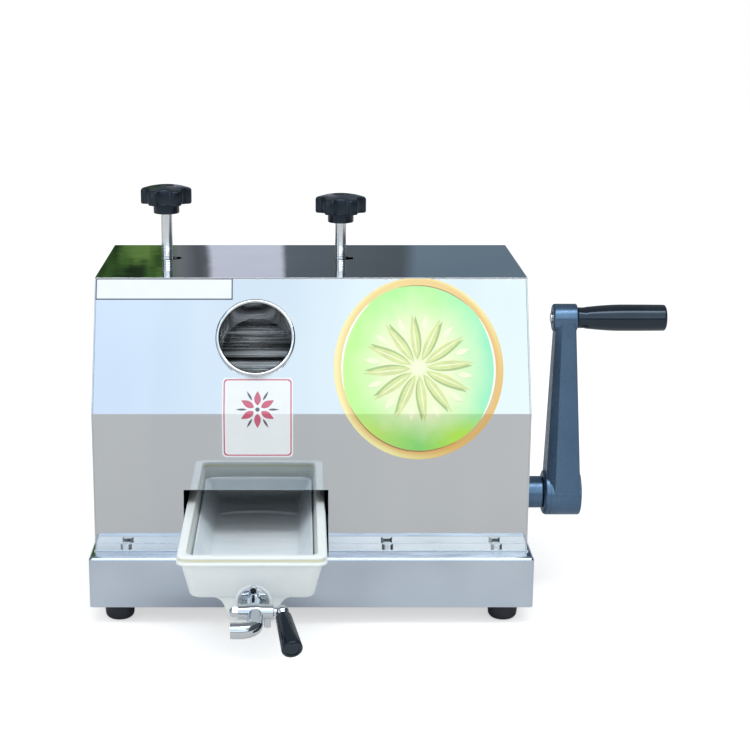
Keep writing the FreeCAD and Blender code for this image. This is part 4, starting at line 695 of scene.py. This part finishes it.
# Grip: a glossy black moulded handle, a little thicker in the middle, that revolves on its spindle.
gloss_plastic = finish("gloss_plastic", (0.006, 0.008, 0.012), 0.0, 0.1, Specular_IOR_Level=0.65,
                       Specular_Tint=(0.62, 0.80, 1.0, 1.0))
tree = gloss_plastic.node_tree
vary(tree, mottle(tree, 50, detail=3), (0.004, 0.006, 0.010), (0.009, 0.012, 0.017), "Base Color")
vary(tree, mottle(tree, 160, detail=3), 0.07, 0.13, "Roughness")
mesh = bmesh.new()
handle = [(273.4, 5.2), (273.4, 10.0), (274.1, 10.75), (281.0, 10.75), (281.8, 11.2)]
handle += [(281.8 + 38.0 * k / 8, 11.2 + 2.5 * math.sin(math.pi / 2 * k / 8)) for k in range(1, 9)]
handle += [(320.0 + 41.0 * k / 8, 13.7 - 0.2 * (k / 8) ** 2) for k in range(1, 8)]
handle += rounded(364.4, 13.5, 2.5, -1) + [(364.4, 8.8), (363.9, 8.5), (355.4, 8.5), (355.4, 5.2)]
turned_form(mesh, (0, crank_y, crank_z + crank_throw), (1, 0, 0), handle, 64)
stand_for("crank_handle", mesh, ["crank_grip"], "grip", gloss_plastic)

# Juice tray: off-white moulded plastic that lets some light through. Its walls are drafted, its rim
# has a flange, a grooved band and a top bead, and its sump hangs in front of the base.
tray_x, tray_front, tray_back, rim_foot, tray_floor = -57.0, -116.7, 250.0, 87.6, 53.6


def plan_loop(z, left, right, front, back, corner, steps=7):
    """One level with round corners, as a loop of points."""
    loop = []
    for x, y, first in ((right - corner, back - corner, 0), (left + corner, back - corner, 90),
                        (left + corner, front + corner, 180), (right - corner, front + corner, 270)):
        for step in range(steps + 1):
            turn = math.radians(first + 90 * step / steps)
            loop.append((x + corner * math.cos(turn), y + corner * math.sin(turn), z))
    return loop


def rim_loop(z, inward):
    """A level of the tray's rim, inward from its flange's edge."""
    half = 71.5 - inward
    return plan_loop(z, tray_x - half, tray_x + half, tray_front + inward, tray_back - inward,
                     max(10.0 - inward, 7.0))


def wall_loop(z, inward=0.0, corner=10.0):
    """A level of the tray's drafted walls."""
    rise = (z - tray_floor) / (rim_foot - tray_floor)
    half = (118.2 + 16.3 * rise) / 2 - inward
    pull = 2.2 + 5.5 * (1 - rise) + inward
    return plan_loop(z, tray_x - half, tray_x + half, tray_front + pull, tray_back - pull, corner)


def sump_loop(z, corner=5.0, inward=0.0, flare=0.0):
    """A level of the sump's drafted walls."""
    rise = (z - 28.0) / 30.6
    half = (46.0 + 14.5 * rise) / 2 - inward + flare
    front = tray_front + 2.2 + (rim_foot - z) * 5.5 / 34.0 + inward
    return plan_loop(z, tray_x - half, tray_x + half, front, -4.0 - 2.5 * (1 - rise) - inward, corner)


mesh = bmesh.new()
outer_wall = [wall_loop(53.6, 2.0), wall_loop(53.8, 1.2), wall_loop(54.4, 0.5), wall_loop(55.6),
              wall_loop(87.2)]
rim = [rim_loop(z, inward) for z, inward in (
    (87.6, 1.6), (87.9, 0.5), (88.4, 0.0), (89.8, 0.0), (90.3, 0.4), (90.5, 1.4), (90.6, 2.4), (90.9, 2.5),
    (93.9, 2.5), (94.1, 2.2), (94.2, 1.4), (94.6, 1.0), (95.6, 1.0), (96.2, 1.4), (96.6, 2.4), (96.6, 8.3),
    (96.3, 9.1), (95.6, 9.5))]
inner_wall = [wall_loop(z, inward, 7.5) for z, inward in (
    (84.0, 6.4), (60.6, 5.5), (57.6, 6.2), (56.4, 7.6), (56.1, 9.6))]
skin(mesh, outer_wall + rim + inner_wall)
sump_foot = [sump_loop(28.0, inward=1.8), sump_loop(28.5, inward=0.6), sump_loop(29.8), sump_loop(44.0)]
sump_neck = [sump_loop(z, flare=flare) for z, flare in (
    (47.0, 0.7), (49.5, 2.0), (51.5, 3.8), (53.0, 6.2), (54.0, 9.0))]
skin(mesh, sump_foot + sump_neck)
turned_form(mesh, (-55.5, 0, 50.0), (0, 1, 0), rounded(-111.8, 17.5, 1.0) + [(-104.0, 17.5)], 56)
tray_plastic = finish("tray_plastic", (0.88, 0.92, 0.92), 0.0, 0.32, Subsurface_Weight=0.3,
                      Subsurface_Scale=1.0, Coat_Weight=0.25, Coat_Roughness=0.12)
tree = tray_plastic.node_tree
tree.nodes["Principled BSDF"].inputs["Subsurface Radius"].default_value = (0.012, 0.012, 0.010)
vary(tree, mottle(tree, 150, detail=3), 0.28, 0.40, "Roughness")
height = node(tree, "SeparateXYZ", {"Vector": node(tree, "TexCoord").outputs["Object"]}).outputs["Z"]
clouds = between(tree, mottle(tree, 22, detail=3), 0.35, 0.65)
milky = mix(tree, clouds, (0.86, 0.93, 0.935), (0.90, 0.96, 0.96))
# Painted shade: the rim's groove is coloured a darker yellow, for the shade under the top bead.
groove_shade = shades(tree, height, (0.108, (0, 0, 0)), (0.1107, (0, 0, 0)), (0.1112, (1, 1, 1)), (0.1136, (1, 1, 1)),
              (0.1141, (0, 0, 0)), (0.117, (0, 0, 0)))
link(tree, mix(tree, groove_shade, milky, (0.80, 0.79, 0.62)), "Base Color")
stand_for("juice_tray_moulding", mesh, ["juice_tray"], "tray", tray_plastic)

# Strainer: fine woven stainless cloth pressed into a shallow basket. It is creased across and along
# its folds, and a little wrinkled from washing.
cloth = finish("mesh_cloth", (0.90, 0.94, 0.97), 0.05, 0.42)
tree = cloth.node_tree
vary(tree, mottle(tree, 16, (1, 2.5, 1), 4), (0.80, 0.89, 0.95), (0.89, 0.95, 0.99), "Base Color")
vary(tree, mottle(tree, 40, (1, 3, 1), 3), 0.36, 0.50, "Roughness")
weave = mottle(tree, 1600, (1, 1, 1), 0)
relief(tree, (mottle(tree, 40, (1, 3.5, 1), 3), 0.0004), (weave, 0.00004))
mesh = bmesh.new()
foot_half, foot_front, foot_back, basket_low, basket_top, slope = 44.5, -85.0, 226.0, 57.0, 82.0, 13.5
across_steps, along_steps = 88, 200
grid = []
for row in range(along_steps + 1):
    y0 = foot_front - slope + (foot_back - foot_front + 2 * slope) * row / along_steps
    line = []
    for column in range(across_steps + 1):
        x0 = (foot_half + slope) * (2 * column / across_steps - 1)
        out_x = max(abs(x0) - foot_half, 0)
        out_y = max(foot_front - y0, y0 - foot_back, 0)
        share = max(out_x, out_y) / slope
        bent_x = out_x * math.sqrt(max(1 - (out_y / slope) ** 2 / 2, 0))
        bent_y = out_y * math.sqrt(max(1 - (out_x / slope) ** 2 / 2, 0))
        x = math.copysign(min(abs(x0), foot_half) + bent_x, x0)
        y = min(max(y0, foot_front), foot_back) + (bent_y if y0 > 0 else -bent_y)
        inside = max(abs(x0) - foot_half, foot_front - y0, y0 - foot_back) / slope
        wall = (inside + math.sqrt(inside * inside + 0.006)) / 2
        z = basket_low + (basket_top - basket_low) * min(wall, 1.0)
        flat = max(0.0, min(1.0, -inside * 2.5))
        z += 0.45 * math.exp(-((inside + 0.12) / 0.07) ** 2)
        ridge = 124.0 + 9.0 * (1 - (x0 / foot_half) ** 2)
        z += (flat * 1.3 * math.exp(-((y0 - ridge) / 2.6) ** 2)
              - flat * 0.6 * math.exp(-((y0 - ridge + 6) / 4) ** 2))
        wrinkle = (noise.noise(Vector((x0 / 60, y0 / 9, 0.5)))
                   + 0.5 * noise.noise(Vector((x0 / 22, y0 / 5, 3.5))))
        z += flat * 0.30 * wrinkle
        line.append(mesh.verts.new(placed(tray_x + x, y, z)))
    grid.append(line)
for near, next_row in zip(grid, grid[1:]):
    for k in range(across_steps):
        mesh.faces.new((near[k], near[k + 1], next_row[k + 1], next_row[k]))
piece = stand_for("strainer_cloth", mesh, ["strainer"], "tray", cloth, 80)
thick = piece.modifiers.new("cloth", "SOLIDIFY")
thick.thickness = 0.0004
thick.offset = 1

# Tap: chrome-plated brass. An eared flange on the sump with two dark screws, a neck, a barrel
# across it and a bent spout, with a rubber washer and a nut inside the sump.
chrome = finish("bright_chrome", (0.60, 0.63, 0.66), 1.0, 0.05)
tree = chrome.node_tree
vary(tree, mottle(tree, 90, detail=4), 0.03, 0.08, "Roughness")
relief(tree, (mottle(tree, 130, detail=1), 0.00010))
tap_x, tap_z, tap_face, barrel_y, barrel_z = -55.5, 50.0, -111.8, -132.0, 49.0
mesh = bmesh.new()
turned_form(mesh, (tap_x, tap_face, tap_z), (0, -1, 0),
            [(0.0, 15.5)] + rounded(3.0, 15.5, 0.8, -1) + [(3.0, 8.0)])
for side in (-1, 1):
    ear = (tap_x, tap_face, tap_z + side * 13.0)
    turned_form(mesh, ear, (0, -1, 0), [(0.0, 4.3)] + rounded(3.2, 4.3, 0.8, -1), 28)
    plain_faces = len(mesh.faces)
    screw_head = [(3.0, 3.1)] + rounded(4.6, 3.1, 0.8, -1) + [(4.6, 1.6), (3.4, 1.6)]
    turned_form(mesh, ear, (0, -1, 0), screw_head, 24)
    mesh.faces.ensure_lookup_table()
    for face in mesh.faces[plain_faces:]:
        face.material_index = 1
turned_form(mesh, (tap_x, tap_face, tap_z), (0, -1, 0), [(2.0, 9.6), (4.0, 8.4), (6.0, 8.0), (20.0, 8.0)], 40)
turned_form(mesh, (0, barrel_y, barrel_z), (1, 0, 0),
            rounded(-69.5, 7.0, 0.7) + [(-64.0, 7.0), (-60.0, 7.8), (-51.0, 7.8), (-47.0, 7.0)]
            + rounded(-36.0, 7.0, 0.7, -1), 48)
turned_form(mesh, (-42.0, barrel_y, 34.0), (0, 0, 1), [(0.0, 3.0), (0.5, 3.6), (12.0, 3.6)], 6)
spout_z, spout_radius, bend_radius = 45.0, 7.6, 14.0
mouth = Vector((-74.5, -168.0, spout_z))
ring_turns = [2 * math.pi * k / 40 for k in range(40)]
route = [(-53.2, barrel_y, spout_z + 2.5), (-53.2, barrel_y - 8, spout_z + 1.2)]
for degrees in range(0, 91, 10):
    turn = math.radians(degrees)
    route.append((-53.2 - bend_radius * (1 - math.cos(turn)), -154.0 - bend_radius * math.sin(turn), spout_z))
route.append(tuple(mouth))
loops = []
for index, point in enumerate(route[:-1]):
    along = (Vector(route[index + 1]) - Vector(route[max(index - 1, 0)])).normalized()
    side = along.cross(Vector((0, 0, 1))).normalized()
    over = side.cross(along)
    loops.append([Vector(point) + side * (spout_radius * math.cos(turn))
                  + over * (spout_radius * math.sin(turn)) for turn in ring_turns])
for far, radius in ((0.0, spout_radius), (0.8, spout_radius), (0.8, 5.6), (-9.0, 5.4)):
    loops.append([mouth + Vector((-far, radius * math.cos(turn), radius * math.sin(turn)))
                  for turn in ring_turns])
skin(mesh, loops)
turned_form(mesh, (tap_x, -105.0, tap_z), (0, 1, 0), [(-5.0, 6.5), (8.8, 6.5)], 32)
piece = stand_for("tap_casting", mesh, ["tap_body"], "tray", chrome)
screw_black = finish("screw_black", (0.03, 0.032, 0.036), 0.9, 0.3)
tree = screw_black.node_tree
vary(tree, mottle(tree, 300, detail=3), 0.24, 0.40, "Roughness")
piece.data.materials.append(screw_black)
dress("tap_lock_nut", chrome)
seal = finish("tap_seal", (0.55, 0.55, 0.52), 0.0, 0.55)
tree = seal.node_tree
vary(tree, mottle(tree, 300, detail=3), (0.50, 0.50, 0.47), (0.60, 0.60, 0.56), "Base Color")
dress("tap_washer", seal)

# Tap plug: a chromed spindle through the barrel with a domed cap nut on its left end, and on its
# right a chrome lever that carries a black grip.
mesh = bmesh.new()
turned_form(mesh, (0, barrel_y, barrel_z), (1, 0, 0), [(-70.0, 4.2), (-30.0, 4.2)], 32)
stand_for("tap_spindle", mesh, ["tap_plug"], "tap_valve", chrome)
mesh = bmesh.new()
turned_form(mesh, (0, barrel_y, barrel_z), (1, 0, 0), [(-74.3, 5.4), (-69.7, 5.4)], 6)
turned_form(mesh, (0, barrel_y, barrel_z), (1, 0, 0),
            [(-77.5, 1.0), (-77.3, 2.2), (-76.6, 3.5), (-75.6, 4.4), (-74.3, 4.8)], 32)
stand_for("tap_cap_nut", mesh, ["tap_plug_nut"], "tap_valve", chrome)
pitch, splay = math.radians(111.0), math.radians(11.0)
lever_way = Vector((math.sin(splay), -math.sin(pitch) * math.cos(splay), math.cos(pitch) * math.cos(splay)))
lever_root = (-28.3, barrel_y, barrel_z)
mesh = bmesh.new()
ball_radius = 6.5
ball = [(ball_radius * math.sin(math.radians(degrees)), ball_radius * math.cos(math.radians(degrees)))
        for degrees in range(-80, 50, 10)]
turned_form(mesh, lever_root, lever_way, ball + [(7.0, 4.2), (26.0, 4.0)], 40)
stand_for("tap_lever_neck", mesh, ["tap_lever"], "tap_valve", chrome)
mesh = bmesh.new()
lever_grip = [(7.0, 3.9), (7.0, 6.8), (7.6, 7.5), (20.0, 8.3), (38.0, 9.3), (50.0, 10.0), (51.0, 9.6),
              (51.8, 8.4), (51.8, 6.6), (51.0, 6.4), (51.0, 1.0)]
turned_form(mesh, lever_root, lever_way, lever_grip, 40)
stand_for("tap_lever_grip", mesh, ["tap_grip"], "tap_valve", gloss_plastic)
